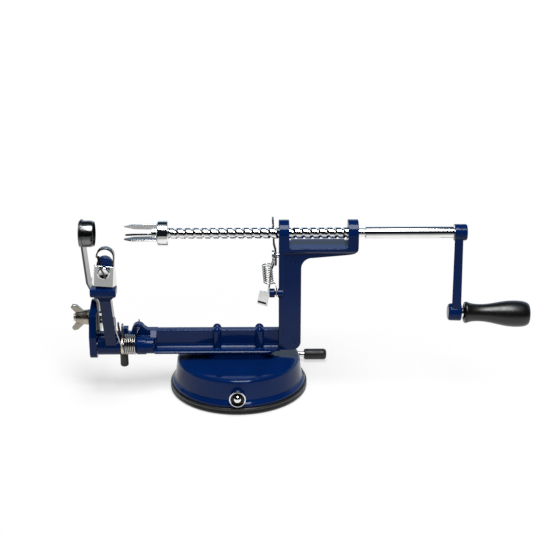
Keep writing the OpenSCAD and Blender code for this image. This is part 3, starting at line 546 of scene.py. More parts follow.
def strip(line, thick, start, deep, ground=0.0):
    """A flat strip along a line in X and Z, with a depth along Y and one side of its front ground back."""
    bm = bmesh.new()
    outer = []
    inner = []
    for i, point in enumerate(line):
        before = Vector(line[max(i - 1, 0)])
        after = Vector(line[min(i + 1, len(line) - 1)])
        along = (after - before).normalized()
        side = Vector((-along.y, along.x)) * thick / 2
        here = Vector(point)
        outer.append(bm.verts.new((here.x + side.x, start, here.y + side.y)))
        inner.append(bm.verts.new((here.x - side.x, start + ground, here.y - side.y)))
    faces = []
    for i in range(len(line) - 1):
        faces.append(bm.faces.new((outer[i], outer[i + 1], inner[i + 1], inner[i])))
    grown = bmesh.ops.extrude_face_region(bm, geom=faces, use_keep_orig=True)
    fresh = [v for v in grown["geom"] if isinstance(v, bmesh.types.BMVert)]
    for vert in fresh:
        vert.co.y = start + deep
    bmesh.ops.recalc_face_normals(bm, faces=bm.faces)
    return bm


def slotted(bm, tall, width, depth):
    """Cuts a slot along Z into the end of a shape turned about X, its floor in the second finish as painted shade
    in the slot.
    """
    floor = tall - depth
    half = width / 2
    near = 2 * WELD
    cuts = (((0, -half, 0), (0, 1, 0)), ((0, half, 0), (0, 1, 0)), ((floor, 0, 0), (1, 0, 0)))
    for place, normal in cuts:
        bmesh.ops.bisect_plane(bm, geom=everything(bm), dist=WELD, plane_co=place, plane_no=normal)
    middles = [(face, face.calc_center_median()) for face in bm.faces]
    sunk = [face for face, centre in middles if abs(centre.y) < half and centre.x > floor]
    bmesh.ops.delete(bm, geom=sunk, context="FACES")
    rim = [edge for edge in bm.edges if edge.is_boundary]
    flat = [edge for edge in rim if all(abs(vert.co.x - floor) < near for vert in edge.verts)]
    upright = [edge for edge in rim if edge not in flat]
    for side in (-half, half):
        wall = [edge for edge in upright if all(abs(vert.co.y - side) < near for vert in edge.verts)]
        ends = {vert for edge in wall for vert in edge.verts if abs(vert.co.x - floor) < near}
        line = bm.edges.new(tuple(ends))
        flat.append(line)
        bmesh.ops.edgeloop_fill(bm, edges=wall + [line])
    # The slot's floor takes the second finish, painted shade in the slot
    for face in bmesh.ops.edgeloop_fill(bm, edges=flat)["faces"]:
        face.material_index = 1
    bmesh.ops.recalc_face_normals(bm, faces=bm.faces)
    return bm


def merged_copy(node, weld=0.02):
    """A CAD node's mesh in millimetres, welded, with its flat faces joined."""
    level = math.radians(1.5)
    bm = bmesh.new()
    bm.from_mesh(frame["nodes"][node].data)
    bmesh.ops.scale(bm, vec=(1 / MM, 1 / MM, 1 / MM), verts=bm.verts)
    bmesh.ops.remove_doubles(bm, verts=bm.verts, dist=weld)
    bmesh.ops.dissolve_degenerate(bm, dist=weld, edges=bm.edges)
    bmesh.ops.dissolve_limit(bm, angle_limit=level, use_dissolve_boundaries=False,
                             verts=bm.verts, edges=bm.edges, delimit=set())
    return bm


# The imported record

def body_of(node):
    """The body that a CAD node rides on."""
    for body, nodes in frame["record"]["behaviour"]["bodies"].items():
        if node in nodes:
            return body
    raise ValueError("no body holds " + node)


def slot_of(node):
    """The material slot of a CAD node."""
    for part in frame["record"]["subparts"]:
        if part["node"] == node:
            return part["material_slot"]
    raise ValueError("no subpart names " + node)


def joint_named(name):
    """A joint of the frame."""
    return next(joint for joint in frame["joints"] if joint["name"] == name)


def joint_place(name):
    """Where a joint's axis passes, in millimetres."""
    return Vector(joint_named(name)["pos_m"]) / MM


def shaft_height():
    """Height of the feed screw's axis, in millimetres."""
    return middle("shank_sleeve").z


# Finished pieces

def dress(obj, slot, nodes, body=None, look=None):
    """Gives a piece its finish and its body, and hides the CAD nodes that it stands for."""
    obj.data.materials.append(material_for(look or slot))
    if body is not None:
        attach(obj, body)
    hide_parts(*nodes)
    return obj


def linked(name, data):
    """A new object of the scene, at the origin."""
    obj = bpy.data.objects.new(name, data)
    bpy.context.scene.collection.objects.link(obj)
    return obj


def new_piece(bm, name, weighted=True):
    """Writes a shape in millimetres to a smooth mesh object at the origin."""
    crease = math.radians(40)
    for edge in bm.edges:
        edge.smooth = edge.calc_face_angle(0) < crease
    bmesh.ops.scale(bm, vec=(MM, MM, MM), verts=bm.verts)
    mesh = bpy.data.meshes.new(name)
    bm.to_mesh(mesh)
    bm.free()
    for face in mesh.polygons:
        face.use_smooth = True
    obj = linked(name, mesh)
    if weighted:
        normals = obj.modifiers.new("Even normals", "WEIGHTED_NORMAL")
        normals.weight = 60
        normals.keep_sharp = True
    return obj


def wire(name, points, diameter, resolution=3):
    """A round wire through points, as a mesh."""
    weld = 1e-6
    curve = bpy.data.curves.new(name, "CURVE")
    curve.dimensions = "3D"
    curve.bevel_depth = diameter / 2 * MM
    curve.bevel_resolution = 3
    curve.use_fill_caps = True
    curve.resolution_u = resolution
    spline = curve.splines.new("BEZIER")
    spline.bezier_points.add(len(points) - 1)
    for knot, point in zip(spline.bezier_points, points):
        knot.co = Vector(point) * MM
        knot.handle_left_type = "AUTO"
        knot.handle_right_type = "AUTO"
    guide = linked(name + "_guide", curve)
    bpy.context.view_layer.update()
    mesh = bpy.data.meshes.new_from_object(guide.evaluated_get(bpy.context.evaluated_depsgraph_get()))
    bpy.data.objects.remove(guide)
    bpy.data.curves.remove(curve)
    bm = bmesh.new()
    bm.from_mesh(mesh)
    bpy.data.meshes.remove(mesh)
    bmesh.ops.remove_doubles(bm, verts=bm.verts, dist=weld)
    bmesh.ops.recalc_face_normals(bm, faces=bm.faces)
    bmesh.ops.scale(bm, vec=(1 / MM, 1 / MM, 1 / MM), verts=bm.verts)
    return new_piece(bm, name, weighted=False)


class PEELER_OT_castings(bpy.types.Operator):
    """Frame, crank, peeling arm and foot: enamelled castings with rounded edges"""

    bl_idname = "peeler.castings"
    bl_label = "Enamelled castings"

    def execute(self, context):
        weld = 0.05
        edge = sizes().casting_round
        foot_edge = 1.3 * edge
        foot_seat = 40
        for node in ("frame", "crank_arm", "peeler_arm", "base_housing"):
            bm = merged_copy(node, weld)
            if node == "frame":
                self.raise_saddle(bm)
            if node == "crank_arm":
                self.draw_in_crank(bm)
                self.dome_boss(bm)
            if node == "base_housing":
                bm = round_edges(bm, foot_edge, inside=foot_seat)
            else:
                bm = round_edges(bm, edge)
            dress(new_piece(bm, node + "_enamel"), "enamel", [node], body_of(node))
        return {"FINISHED"}

    def raise_saddle(self, bm):
        """Lifts the saddle's rear rim, so that its floor drains to the front."""
        rise = 1.3
        below_shaft = 9.4
        rear = 9
        floor = shaft_height() - below_shaft
        left = span("frame")[0].x / 2
        for vert in bm.verts:
            if abs(vert.co.z - floor) < ON_FACE and vert.co.y > rear and vert.co.x > left:
                vert.co.z += rise

    def draw_in_crank(self, bm):
        """Gives the crank's left face the draft of its casting, towards the back."""
        draft = 2.0
        depth = 10
        front = -5
        gap = 0.3
        boss = 2.4
        top = Vector((span("shank_sleeve")[1].x + gap, 0, shaft_height()))
        foot = joint_place("grip_spin") + Vector((boss, 0, 0))
        for vert in bm.verts:
            share = (vert.co.z - foot.z) / (top.z - foot.z)
            face = foot.x + (top.x - foot.x) * share
            if abs(vert.co.x - face) < ON_FACE:
                vert.co.x += draft * (vert.co.y - front) / depth

    def dome_boss(self, bm):
        """Rounds the closed end of the crank's lower boss well over."""
        radius = 2.4
        boss = 8
        steep = math.radians(60)
        along = Vector(joint_named("grip_spin")["axis"])
        top = joint_place("grip_spin").z + boss
        low = [vert for vert in bm.verts if vert.co.z < top]
        end = min(vert.co.dot(along) for vert in low)
        flat = {vert for vert in low if vert.co.dot(along) < end + ON_FACE}
        rim = [e for e in bm.edges if flat.issuperset(e.verts) and e.calc_face_angle(0) > steep]
        bmesh.ops.bevel(bm, geom=rim, offset=radius, offset_type="OFFSET", affect="EDGES", segments=6,
                        profile=0.5, material=-1, clamp_overlap=True)


class PEELER_OT_plated(bpy.types.Operator):
    """Small plated and pressed pieces with broken edges"""

    bl_idname = "peeler.plated"
    bl_label = "Plated pieces"

    def execute(self, context):
        widths = {
            "fork": 0.35, "fork_nut": 0.3, "grip_pin": 0.25, "release_lever": 0.2, "release_screw": 0.3,
            "latch_lever": 0.2, "blade_clamp": 0.25, "clamp_nut": 0.3, "slicer_strip": 0.2,
            "slicer_bolt": 0.35, "slicer_washer": 0.2, "wing_nut": 0.5, "arm_pin": 0.4}
        looks = {"wing_nut": "nickel", "latch_lever": "latch", "release_lever": "release"}
        for node, width in widths.items():
            obj = new_piece(round_edges(merged_copy(node), width), node + "_plated")
            dress(obj, slot_of(node), [node], body_of(node), looks.get(node))
        self.coring_ring()
        for node in ("pad_stud", "lever_cam", "base_screws", "crank_pin"):
            materials = frame["nodes"][node].data.materials
            materials.clear()
            materials.append(material_for(slot_of(node)))
        return {"FINISHED"}

    def coring_ring(self):
        """Short tube with a ground rim that faces the food."""
        wall = 1
        broken = 0.15
        land = 0.2
        ground = 2.4
        low, high = span("corer_ring")
        outer = (high.z - low.z) / 2
        inner = outer - wall
        profile = [
            (low.x, inner + broken), (low.x + broken, inner), (high.x, inner), (high.x, inner + land),
            (high.x - ground, outer), (low.x + land, outer), (low.x, outer - land)]
        bm = moved(turned(profile, steps=96, closed=True), (0, 0, middle("corer_ring").z))
        obj = new_piece(bm, "corer_ring_plated")
        dress(obj, slot_of("corer_ring"), ["corer_ring"], body_of("corer_ring"))


class PEELER_OT_screw(bpy.types.Operator):
    """Rope-like feed screw and the loose sleeve on its shank"""

    bl_idname = "peeler.screw"
    bl_label = "Feed screw"

    def execute(self, context):
        screw = new_piece(joined([self.thread(), self.core()]), "feed_screw_chrome")
        dress(screw, "chrome", ["feed_screw"], "screw")
        sleeve = new_piece(self.sleeve(), "shank_sleeve_chrome")
        dress(sleeve, "chrome", ["shank_sleeve"], "sleeve")
        return {"FINISHED"}

    def ends(self):
        """Left and right end of the thread."""
        neck = 4.8
        return span("fork")[1].x, span("shank_sleeve")[0].x - neck

    def thread(self):
        """One groove profile wound along the screw, cut square at both ends."""
        steps = 36
        count = 14
        weld = 0.003
        beside_pivot = 1.8
        pitch = sizes().thread_pitch
        depth = sizes().thread_depth
        half = sizes().groove_share * 180
        low, high = span("feed_screw")
        radius = (high.z - low.z) / 2
        left, right = self.ends()
        tooth = joint_place("release_press").x - beside_pivot
        turns = math.ceil((right - left) / pitch) + 2
        start = tooth - math.ceil((tooth - left) / pitch + 1) * pitch
        bm = bmesh.new()
        points = []
        for i in range(count + 1):
            phase = -180 + 360 * i / count
            cut = max(0.0, math.cos(math.radians(min(90, abs(phase) * 90 / half))))
            points.append(bm.verts.new((start + pitch * phase / 360, radius - depth * cut, 0)))
        edges = [bm.edges.new(pair) for pair in zip(points, points[1:])]
        bmesh.ops.spin(bm, geom=points + edges, cent=(0, 0, 0), axis=(1, 0, 0), dvec=(pitch / steps, 0, 0),
                       angle=2 * math.pi * turns, steps=steps * turns)
        bmesh.ops.remove_doubles(bm, verts=bm.verts, dist=weld)
        for place, normal in ((left, (-1, 0, 0)), (right, (1, 0, 0))):
            cut = bmesh.ops.bisect_plane(bm, geom=everything(bm), dist=WELD, plane_co=(place, 0, 0),
                                         plane_no=normal, clear_outer=True)
            rim = [e for e in cut["geom_cut"] if isinstance(e, bmesh.types.BMEdge)]
            bmesh.ops.contextual_create(bm, geom=rim)
        bmesh.ops.recalc_face_normals(bm, faces=bm.faces)
        return moved(bm, (0, 0, shaft_height()))

    def core(self):
        """Plain end for the fork, neck beside the sleeve and shank inside it."""
        plain = 2.5
        hidden = 1.5
        neck = 3.5
        shank = 3
        inset = 2
        broken = 0.4
        step = 0.3
        tip = 0.5
        left, right = self.ends()
        low, high = span("feed_screw")
        sleeve = span("shank_sleeve")[0].x
        profile = [
            (low.x, 0), (low.x, plain - broken), (low.x + broken, plain), (left + inset, plain),
            (left + inset, hidden), (right - inset, hidden), (right - inset, neck - step),
            (right - broken, neck), (sleeve - 2 * step, neck), (sleeve - step, neck - step),
            (sleeve - step, shank), (high.x - tip, shank), (high.x, shank - broken), (high.x, 0)]
        return moved(turned(profile, steps=40), (0, 0, shaft_height()))

    def sleeve(self):
        """Thin chrome tube with broken ends."""
        bore = 3.1
        broken = 0.4
        low, high = span("shank_sleeve")
        outer = (high.z - low.z) / 2
        shoulder = outer - 0.45
        profile = [
            (low.x, bore), (low.x, shoulder), (low.x + broken, outer), (high.x - broken, outer),
            (high.x, shoulder), (high.x, bore)]
        return moved(turned(profile, steps=64, closed=True), (0, 0, shaft_height()))


class PEELER_OT_grip(bpy.types.Operator):
    """Moulded grip on the crank: collar, waist and fat end with a sunk pin hole"""

    bl_idname = "peeler.grip"
    bl_label = "Crank grip"

    def execute(self, context):
        fat = 10.4
        length = 51
        bore = 2.55
        sunk = 4.8
        sunk_end = length - 5.4
        boss = 10.2
        gap = 2.3
        outside = [
            (0, 0.72), (0.7, 0.8), (1.8, 0.82), (3, 0.78), (5.2, 0.7), (8.7, 0.655), (12.8, 0.645),
            (16.8, 0.67), (21.4, 0.74), (26, 0.83), (30.6, 0.92), (35.2, 0.98), (39.8, 1), (43.9, 0.99),
            (46.9, 0.95), (49.2, 0.88), (50.5, 0.79), (length, 0.7)]
        profile = [(0, bore)] + [(along, share * fat) for along, share in outside]
        profile += [(length, sunk), (sunk_end, sunk), (sunk_end, bore)]
        bm = moved(turned(profile, steps=48, closed=True), (boss + gap, 0, 0))
        moved(bm, joint_place("grip_spin"), Matrix.Rotation(sizes().grip_droop, 3, "Y"))
        obj = new_piece(bm, "crank_grip_moulding", weighted=False)
        smooth = obj.modifiers.new("Soft form", "SUBSURF")
        smooth.levels = 1
        smooth.render_levels = 1
        dress(obj, "grip", ["crank_grip"], "grip")
        return {"FINISHED"}


class PEELER_OT_foot(bpy.types.Operator):
    """Rubber pad, bent suction lever, its grip and the dome cap on its axle"""

    bl_idname = "peeler.foot"
    bl_label = "Suction foot"

    def execute(self, context):
        self.pad()
        self.rod()
        self.hand_grip()
        self.cap()
        return {"FINISHED"}

    def pad(self):
        """Rim with a groove round it, and the cup that the stud pulls up."""
        lip = 5.5
        lower = 1.5
        upper = 1
        broken = 0.12
        low, high = span("suction_pad")
        rim = (high.x - low.x) / 2
        inner = rim - 12
        seam = inner + 0.4
        ring = [(0, inner), (0, rim - 2.4)] + arc(lower, rim - lower, lower, 180, 90, 5)
        ring += [(2.6, rim - 0.35), (3.1, rim - 0.7), (3.5, rim - 0.35)]
        ring += arc(lip - upper, rim - upper, upper, 90, 0, 5) + [(lip, inner)]
        bm = moved(turned(ring, steps=128, closed=True), turn=ALONG_Z)
        bm = round_edges(bm, broken, segments=1, angle=50)
        dress(new_piece(bm, "pad_rim_rubber"), "rubber", ["suction_pad"], "frame")
        cup = [(4, 0), (4, 12), (2.2, 25), (0.6, seam), (lip - 0.2, seam), (lip, 34), (7.4, 14), (7.4, 0)]
        obj = new_piece(moved(turned(cup, steps=96), turn=ALONG_Z), "pad_cup_rubber")
        dress(obj, "rubber", ["suction_pad"], "frame")
        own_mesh(obj)

    def rod(self):
        """Axle through the foot, bent round its back and on to the right."""
        diameter = 4.8
        inside_grip = 12
        low, high = span("lever_rod")
        axle = middle("axle_cap").z
        hand = middle("lever_grip")
        end = span("lever_grip")[0].x + inside_grip
        back = high.y - 2.35
        route = [
            (0, low.y, axle), (0, 0, axle), (0, back - 6, axle), (0.2, back - 3, axle),
            (1.2, back - 0.9, axle - 0.1), (3.4, back, axle - 0.4), (16, back - 1.9, axle - 3),
            (30, back - 4.4, hand.z + 2.4), (38, back - 7, hand.z + 1.2), (44, hand.y + 2, hand.z + 0.4),
            (49, hand.y + 0.3, hand.z), (53, hand.y, hand.z), (end, hand.y, hand.z)]
        rod = wire("lever_rod_chrome", route, diameter, resolution=6)
        dress(rod, "chrome", ["lever_rod"], "suction_lever")

    def hand_grip(self):
        """Dipped grip with a rounded end."""
        end_round = 2.6
        low, high = span("lever_grip")
        hand = middle("lever_grip")
        radius = (high.z - low.z) / 2
        length = high.x - low.x
        profile = [(0, 0), (0, radius - 1.1), (0.5, radius - 0.4), (1.3, radius), (length - 2.8, radius)]
        profile += arc(length - end_round, radius - end_round, end_round, 90, 0, 6) + [(length, 0)]
        bm = moved(turned(profile, steps=48), (low.x, hand.y, hand.z))
        dress(new_piece(bm, "lever_grip_vinyl"), "vinyl", ["lever_grip"], "suction_lever")

    def cap(self):
        """Thin cup with a chrome dome standing in its hollow, whose floor and inner wall are black vinyl as
        painted shade.
        """
        dome = 3.5
        dome_foot = 1.2
        low, high = span("axle_cap")
        rim = (high.x - low.x) / 2
        tall = high.y - low.y
        profile = [
            (0, 0), (0, rim - 0.4), (0.4, rim), (2.8, rim), (3.2, rim - 0.2), (3.3, rim - 0.6),
            (3.1, rim - 1), (0.6, rim - 1.1), (0.6, dome + 0.1), (dome_foot, dome)]
        for a in angles(1, 5):
            profile.append((dome_foot + (tall - dome_foot) * math.sin(a), dome * math.cos(a)))
        bm = turned(profile + [(tall, 0)], steps=56)
        # The hollow's floor and inner wall take the second finish, black vinyl: painted shade in the hollow
        for face in bm.faces:
            centre = face.calc_center_median()
            inside = dome < math.hypot(centre.y, centre.z) < rim - 0.9
            face.material_index = 1 if inside and 0.1 < centre.x < 2.4 else 0
        moved(bm, (0, high.y, middle("axle_cap").z), TOWARDS_VIEWER)
        obj = dress(new_piece(bm, "axle_cap_chrome"), "chrome", ["axle_cap"], "suction_lever")
        # Second finish: black vinyl, painted shade in the cup's hollow
        obj.data.materials.append(material_for("vinyl"))


class PEELER_OT_springs(bpy.types.Operator):
    """Extension spring of the release lever and torsion spring of the peeling arm"""

    bl_idname = "peeler.springs"
    bl_label = "Springs"

    def execute(self, context):
        self.release()
        self.arm()
        return {"FINISHED"}

    def release(self):
        """Hook in the lever, coil and hook round the peg."""
        radius = 3.6
        hook_radius = 2.4
        around = 16
        pivot = joint_place("release_press")
        x, z = pivot.x, pivot.z
        y = -7.5
        peg = z - 27
        top = Vector((x - 6.8, y, z - 4))
        lean = Vector((1.2, 0, -14.6))
        count = sizes().release_turns * around
        coil = []
        for i in range(count + 1):
            turn = 2 * math.pi * i / around
            coil.append(top + lean * (i / count) + radius * Vector((math.cos(turn), math.sin(turn), 0)))
        hook = [
            (x + 1.3, y, z), (x, y, z), (x - 1.4, y, z - 0.1), (x - 2.4, y, z - 0.9),
            (x - 3, y, z - 2.2)]
        tail = [(x - 0.8, y + 0.9, z - 19.6), (x + 0.1, y - 0.4, z - 20.9), (x + 0.4, y - 1.9, z - 22.8)]
        ring = [(x + 0.4, y + out, peg + up) for out, up in arc(0, 0, hook_radius, 165, 345, 9)]
        obj = wire("release_spring_wire", hook + coil + tail + ring, sizes().release_wire)
        dress(obj, "chrome", ["release_spring"], look="spring")
        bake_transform(obj)

    def arm(self):
        """Leg in the arm, coil on the spigot and leg through the casting's hump."""
        radius = 7.5
        around = 16
        back = 3.2
        gap = 0.4
        half_stem = 1.975
        clear = 0.15
        spigot = 10.3
        pivot = joint_place("arm_swing")
        diameter = sizes().arm_wire
        whole_turns = sizes().arm_turns
        latch_left = span("latch_lever")[0].x
        latch_right = span("latch_lever")[1].x
        left = latch_right + clear + diameter / 2
        right = latch_right + spigot - diameter / 2
        leg_x = latch_left - gap - half_stem
        hump = latch_right + 10.7
        hole = pivot.z + 10.1
        coil_z = pivot.z + 1
        rear = pivot.y + radius
        up = Vector((0, -26, 54.3)).normalized()
        fore = Vector((0, -up.z, up.y))
        leg = (
            (leg_x - 1.9, 33, 0), (leg_x - 0.6, 33, 0), (leg_x - 0.1, 32.4, 0), (leg_x, 31, 0),
            (leg_x, 27, 1.2), (leg_x, 22.1, 3.2), (leg_x + (left - leg_x) * 0.3, 17, 5.2),
            (leg_x + (left - leg_x) * 0.75, 8.9, 7.3))
        points = [Vector((x, pivot.y, pivot.z)) + up * climb + fore * out for x, climb, out in leg]
        sweep = 2 * math.pi * whole_turns + math.pi - math.atan2(-up.y, up.z)
        count = around * (whole_turns + 1)
        for i in range(count + 1):
            turn = sweep * (1 - i / count)
            x = left + (right - left) * i / count
            points.append(Vector((x, pivot.y + radius * math.cos(turn), coil_z - radius * math.sin(turn))))
        points += [Vector(point) for point in (
            (right - 0.1, rear, coil_z + 3), (right - 0.1, rear, hole - 2.9),
            (right + 0.1, rear + 0.3, hole - 1), (hump - 0.1, -back - 3.8, hole), (hump, 0, hole),
            (hump, back + 1.4, hole), (hump, back + 2.2, hole + 0.8), (hump, back + 2.4, hole + 2.2),
            (hump, back + 2.4, hole + 4.2))]
        obj = wire("arm_spring_wire", points, diameter)
        dress(obj, "chrome", ["arm_spring"], look="spring")
        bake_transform(obj)


class PEELER_OT_latch_tip(bpy.types.Operator):
    """Vinyl cap on the latch's finger end"""

    bl_idname = "peeler.latch_tip"
    bl_label = "Latch tip"

    def execute(self, context):
        longer = 3
        bend = 1.6
        low, high = span("latch_tip")
        centre = middle("latch_tip")
        radius = (high.x - low.x) / 2
        length = high.z - low.z + longer
        profile = [(0, 0)]
        for a in angles(0, 6):
            profile.append((bend - bend * math.cos(a), radius - bend + bend * math.sin(a)))
        profile += [(length - 0.6, radius - 0.1), (length, radius - 0.7), (length, 0)]
        bm = moved(turned(profile, steps=40), (centre.x, centre.y, low.z), ALONG_Z)
        dress(new_piece(bm, "latch_tip_vinyl"), "vinyl", ["latch_tip"], "latch")
        return {"FINISHED"}


class PEELER_OT_head(bpy.types.Operator):
    """Looped blade with its bent inner leg, and the dished, slotted screw of its clamp"""

    bl_idname = "peeler.head"
    bl_label = "Blade and clamp screw"

    def execute(self, context):
        self.blade()
        self.screw()
        return {"FINISHED"}

    def blade(self):
        """A flat strip bent to a loop, sharp towards the food, and a leg that is bent inwards."""
        root = Vector((-98.2, 0, 94))
        head_lean = Matrix.Rotation(math.radians(4.5), 3, "Y")
        leg_bend = Matrix.Rotation(math.radians(-9), 3, "X")
        half = 6.3
        rise = 28
        thick = 1.0
        ground = 0.45
        leg_start = -0.4
        leg_deep = 0.8
        leg_forward = 1.3
        broken = 0.15
        low, high = span("peel_blade")
        line = [(half, 7.2), (half, 14), (half, 21)] + arc(0, rise, half, 0, 180, 20) + [(-half, rise - 1)]
        loop = strip(line, thick, low.y, high.y - low.y, ground)
        tab = strip([(-half + 0.2, 0.7), (-half + 2.1, 0.4)], 1.4, leg_start, leg_deep)
        shank = strip([(-half + 1.5, 1), (-half + 2.5, -3), (-half + 3.3, -6.2)], 2.1, leg_start, leg_deep)
        leg = moved(joined([tab, shank]), (0, low.y - leg_forward, rise), leg_bend)
        bm = moved(joined([loop, leg]), root, head_lean)
        bm = round_edges(bm, broken, segments=2, angle=40)
        dress(new_piece(bm, "peel_blade_steel"), "blade", ["peel_blade"], "arm")

    def screw(self):
        """Round head with a dished face and a wide slot, on a plain shank."""
        tall = 3.5
        seat = 3.4
        shoulder = tall - 1.3
        dish = 0.9
        rings = 8
        slot_width = 1.4
        slot_depth = 1.7
        slot_turn = Matrix.Rotation(math.radians(22), 3, "X")
        low, high = span("clamp_screw")
        centre = middle("clamp_screw")
        radius = (high.x - low.x) / 2
        lip = radius - 1.2
        profile = [(0, 0), (0, radius - 0.15), (0.15, radius), (shoulder, radius)]
        profile += [(shoulder + 1.3 * math.sin(a), lip + 1.2 * math.cos(a)) for a in angles(1, 6)]
        for i in range(rings - 1, -1, -1):
            profile.append((tall - dish * (1 - (i / rings) ** 2), lip * i / rings))
        head = slotted(turned(profile, steps=64), tall, slot_width, slot_depth)
        moved(head, turn=slot_turn)
        moved(head, (centre.x, low.y + seat, centre.z), TOWARDS_VIEWER)
        length = high.y - low.y
        shank = turned([
            (0, 0), (0, 1.7), (0.4, 2), (length - 3.4, 2), (length - 3, 1.6), (length - 3, 0)], steps=32)
        moved(shank, (centre.x, high.y, centre.z), TOWARDS_VIEWER)
        obj = new_piece(joined([head, shank]), "clamp_screw_chrome")
        dress(obj, "chrome", ["clamp_screw"], "arm")
        # Second finish: darker ground steel on the slot's floor, painted shade in the slot
        obj.data.materials.append(material_for("blade"))


class PEELER_OT_stage(bpy.types.Operator):
    """Pale floor, studio room, softbox and camera"""

    bl_idname = "peeler.stage"
    bl_label = "Stage"

    def execute(self, context):
        context.scene.view_settings.view_transform = "Standard"
        self.floor()
        self.room()
        self.world(context.scene)
        self.softbox()
        self.camera(context.scene)
        return {"FINISHED"}

    def stage_object(self, bm, name):
        """Writes a shape in metres to an object of the stage."""
        mesh = bpy.data.meshes.new(name)
        bm.to_mesh(mesh)
        bm.free()
        return linked(name, mesh)

    def bare_material(self, name):
        """A material with no nodes yet."""
        material = bpy.data.materials.new(name)
        material.use_nodes = True
        material.node_tree.nodes.clear()
        return material

    def floor(self):
        """A pale table that keeps the shadow, and is plain white further out."""
        size = (0.46, 1.3, 1)
        place = (0.07, 0.35, -0.0003)
        shadow_centre = (-0.03, 0.0, 0)
        shadow_inner = 0.09
        shadow_outer = 0.26
        front_start = -0.3
        front_stop = -0.08
        front_gloss = 0.42
        warmth = 0.995
        bm = bmesh.new()
        bmesh.ops.create_grid(bm, x_segments=1, y_segments=1, size=1)
        bmesh.ops.scale(bm, vec=size, verts=bm.verts)
        bmesh.ops.translate(bm, vec=place, verts=bm.verts)
        obj = self.stage_object(bm, "floor")
        material = self.bare_material("pale_table")
        tree = material.node_tree
        here = object_place(tree)
        mask = ray_mask(tree)
        depth = add_node(tree, "ShaderNodeSeparateXYZ", feeds={0: here}).outputs["Y"]
        gloss = add_node(tree, "ShaderNodeLightPath").outputs["Is Glossy Ray"]
        front = combined(tree, "MULTIPLY", band(tree, depth, front_start, front_stop, 1, 0), gloss)
        dimmer = band(tree, front, 0, 1, 1, front_gloss)
        lift = combined(tree, "MULTIPLY", dimmer, stage_values().floor_lift)
        seen_lift = combined(tree, "MULTIPLY", lift, mask)
        shade = stage_values().floor_shade
        diffuse = add_node(tree, "ShaderNodeBsdfDiffuse", {"Color": (shade, shade, shade * warmth, 1)})
        glow = add_node(tree, "ShaderNodeEmission", feeds={"Strength": seen_lift})
        white = add_node(tree, "ShaderNodeEmission", feeds={"Strength": dimmer})
        both = add_node(tree, "ShaderNodeAddShader", feeds={0: diffuse.outputs[0], 1: glow.outputs[0]})
        centred = add_node(tree, "ShaderNodeMapping", {"Location": shadow_centre}, {"Vector": here},
                           vector_type="TEXTURE")
        reach = add_node(tree, "ShaderNodeVectorMath", feeds={0: centred.outputs["Vector"]},
                         operation="LENGTH")
        fade = band(tree, reach.outputs["Value"], shadow_inner, shadow_outer, 0, 1)
        far = combined(tree, "MULTIPLY", fade, mask)
        feeds = {0: far, 1: both.outputs[0], 2: white.outputs[0]}
        choice = add_node(tree, "ShaderNodeMixShader", feeds=feeds)
        add_node(tree, "ShaderNodeOutputMaterial", feeds={"Surface": choice.outputs[0]})
        obj.data.materials.append(material)

    def room(self):
        """Dark walls, pale paper behind the table and a dim ceiling, which only gloss shows."""
        radius = 6
        paper_front = -0.6
        paper_back = 1.2
        paper_full = 3.1
        paper_top = 3.7
        ceiling_start = 5.2
        ceiling_full = 5.9
        ceiling = 0.25
        darkest = 0.012
        bm = bmesh.new()
        bmesh.ops.create_uvsphere(bm, u_segments=48, v_segments=24, radius=radius)
        obj = self.stage_object(bm, "room")
        obj.visible_camera = False
        obj.visible_diffuse = False
        obj.visible_shadow = False
        obj.visible_transmission = False
        material = self.bare_material("dark_room")
        tree = material.node_tree
        here = add_node(tree, "ShaderNodeSeparateXYZ", feeds={0: object_place(tree)})
        behind = band(tree, here.outputs["Y"], paper_front, paper_back, 0, 1)
        below = band(tree, here.outputs["Z"], paper_full, paper_top, 1, 0)
        above = band(tree, here.outputs["Z"], ceiling_start, ceiling_full, 0, ceiling)
        paper = combined(tree, "MULTIPLY", behind, below)
        bright = combined(tree, "MAXIMUM", combined(tree, "ADD", paper, above), darkest)
        glow = add_node(tree, "ShaderNodeEmission", {"Color": (0.62, 0.79, 1, 1)}, {"Strength": bright})
        add_node(tree, "ShaderNodeOutputMaterial", feeds={"Surface": glow.outputs[0]})
        obj.data.materials.append(material)

    def world(self, scene):
        """White where it is seen, a dim fill elsewhere."""
        world = bpy.data.worlds.new("studio")
        scene.world = world
        world.use_nodes = True
        tree = world.node_tree
        tree.nodes.clear()
        fill = add_node(tree, "ShaderNodeBackground", {"Strength": stage_values().room_fill})
        white = add_node(tree, "ShaderNodeBackground", {"Color": (1, 1, 1, 1)})
        feeds = {0: ray_mask(tree), 1: fill.outputs[0], 2: white.outputs[0]}
        choice = add_node(tree, "ShaderNodeMixShader", feeds=feeds)
        add_node(tree, "ShaderNodeOutputWorld", feeds={"Surface": choice.outputs[0]})

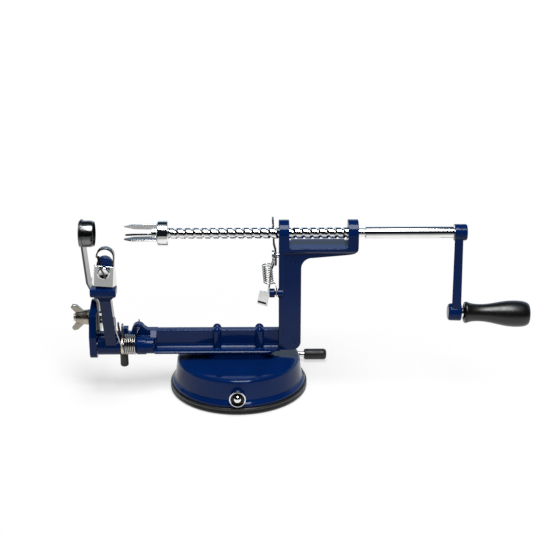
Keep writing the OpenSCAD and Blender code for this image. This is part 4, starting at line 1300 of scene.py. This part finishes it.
    def softbox(self):
        """One large box above the front."""
        centre = Vector((0.02, 0, 0.09))
        distance = 1.7
        height = math.radians(69)
        aside = math.radians(8)
        lamp = bpy.data.lights.new("softbox", "AREA")
        lamp.shape = "RECTANGLE"
        lamp.size = 0.68
        lamp.size_y = 1.17
        lamp.energy = stage_values().softbox_power
        level = math.cos(height)
        away = Vector((math.sin(aside) * level, -math.cos(aside) * level, math.sin(height)))
        obj = linked("softbox", lamp)
        obj.location = centre + away * distance
        obj.rotation_euler = away.to_track_quat("Z", "Y").to_euler()

    def camera(self, scene):
        """The photograph's view."""
        values = stage_values()
        data = bpy.data.cameras.new("camera")
        data.lens = values.camera_lens
        data.sensor_width = 36
        data.clip_start = 0.01
        data.clip_end = 100
        obj = linked("camera", data)
        place = Vector(values.camera_place)
        sight = (Vector(values.camera_target) - place).to_track_quat("-Z", "Y").to_matrix().to_4x4()
        obj.matrix_world = Matrix.Translation(place) @ sight @ Matrix.Rotation(values.camera_roll, 4, "Z")
        scene.camera = obj


OPERATORS = (
    PEELER_OT_castings, PEELER_OT_plated, PEELER_OT_screw, PEELER_OT_grip, PEELER_OT_foot,
    PEELER_OT_springs, PEELER_OT_latch_tip, PEELER_OT_head, PEELER_OT_stage)


class PEELER_PT_panel(bpy.types.Panel):
    """Lists the pieces and the stage"""

    bl_label = "Fruit Peeler"
    bl_idname = "PEELER_PT_panel"
    bl_space_type = "VIEW_3D"
    bl_region_type = "UI"
    bl_category = "Peeler"

    def draw(self, context):
        for group in (sizes(), finish(), stage_values()):
            box = self.layout.box()
            for name in group.__annotations__:
                box.prop(group, name)
        for operator in OPERATORS:
            self.layout.operator(operator.bl_idname)


GROUPS = {"peeler_sizes": PeelerSizes, "peeler_finish": PeelerFinish, "peeler_stage": PeelerStage}


def register():
    """Adds the groups of values, the operators and the panel."""
    for name, group in GROUPS.items():
        bpy.utils.register_class(group)
        setattr(bpy.types.Scene, name, PointerProperty(type=group))
    for operator in OPERATORS:
        bpy.utils.register_class(operator)
    bpy.utils.register_class(PEELER_PT_panel)


def unregister():
    """Takes them away again."""
    bpy.utils.unregister_class(PEELER_PT_panel)
    for operator in reversed(OPERATORS):
        bpy.utils.unregister_class(operator)
    for name, group in GROUPS.items():
        delattr(bpy.types.Scene, name)
        bpy.utils.unregister_class(group)


def main():
    """Makes the pieces and the stage in order."""
    register()
    for operator in OPERATORS:
        getattr(bpy.ops.peeler, operator.bl_idname.split(".")[1])()


if __name__ == "__main__":
    main()
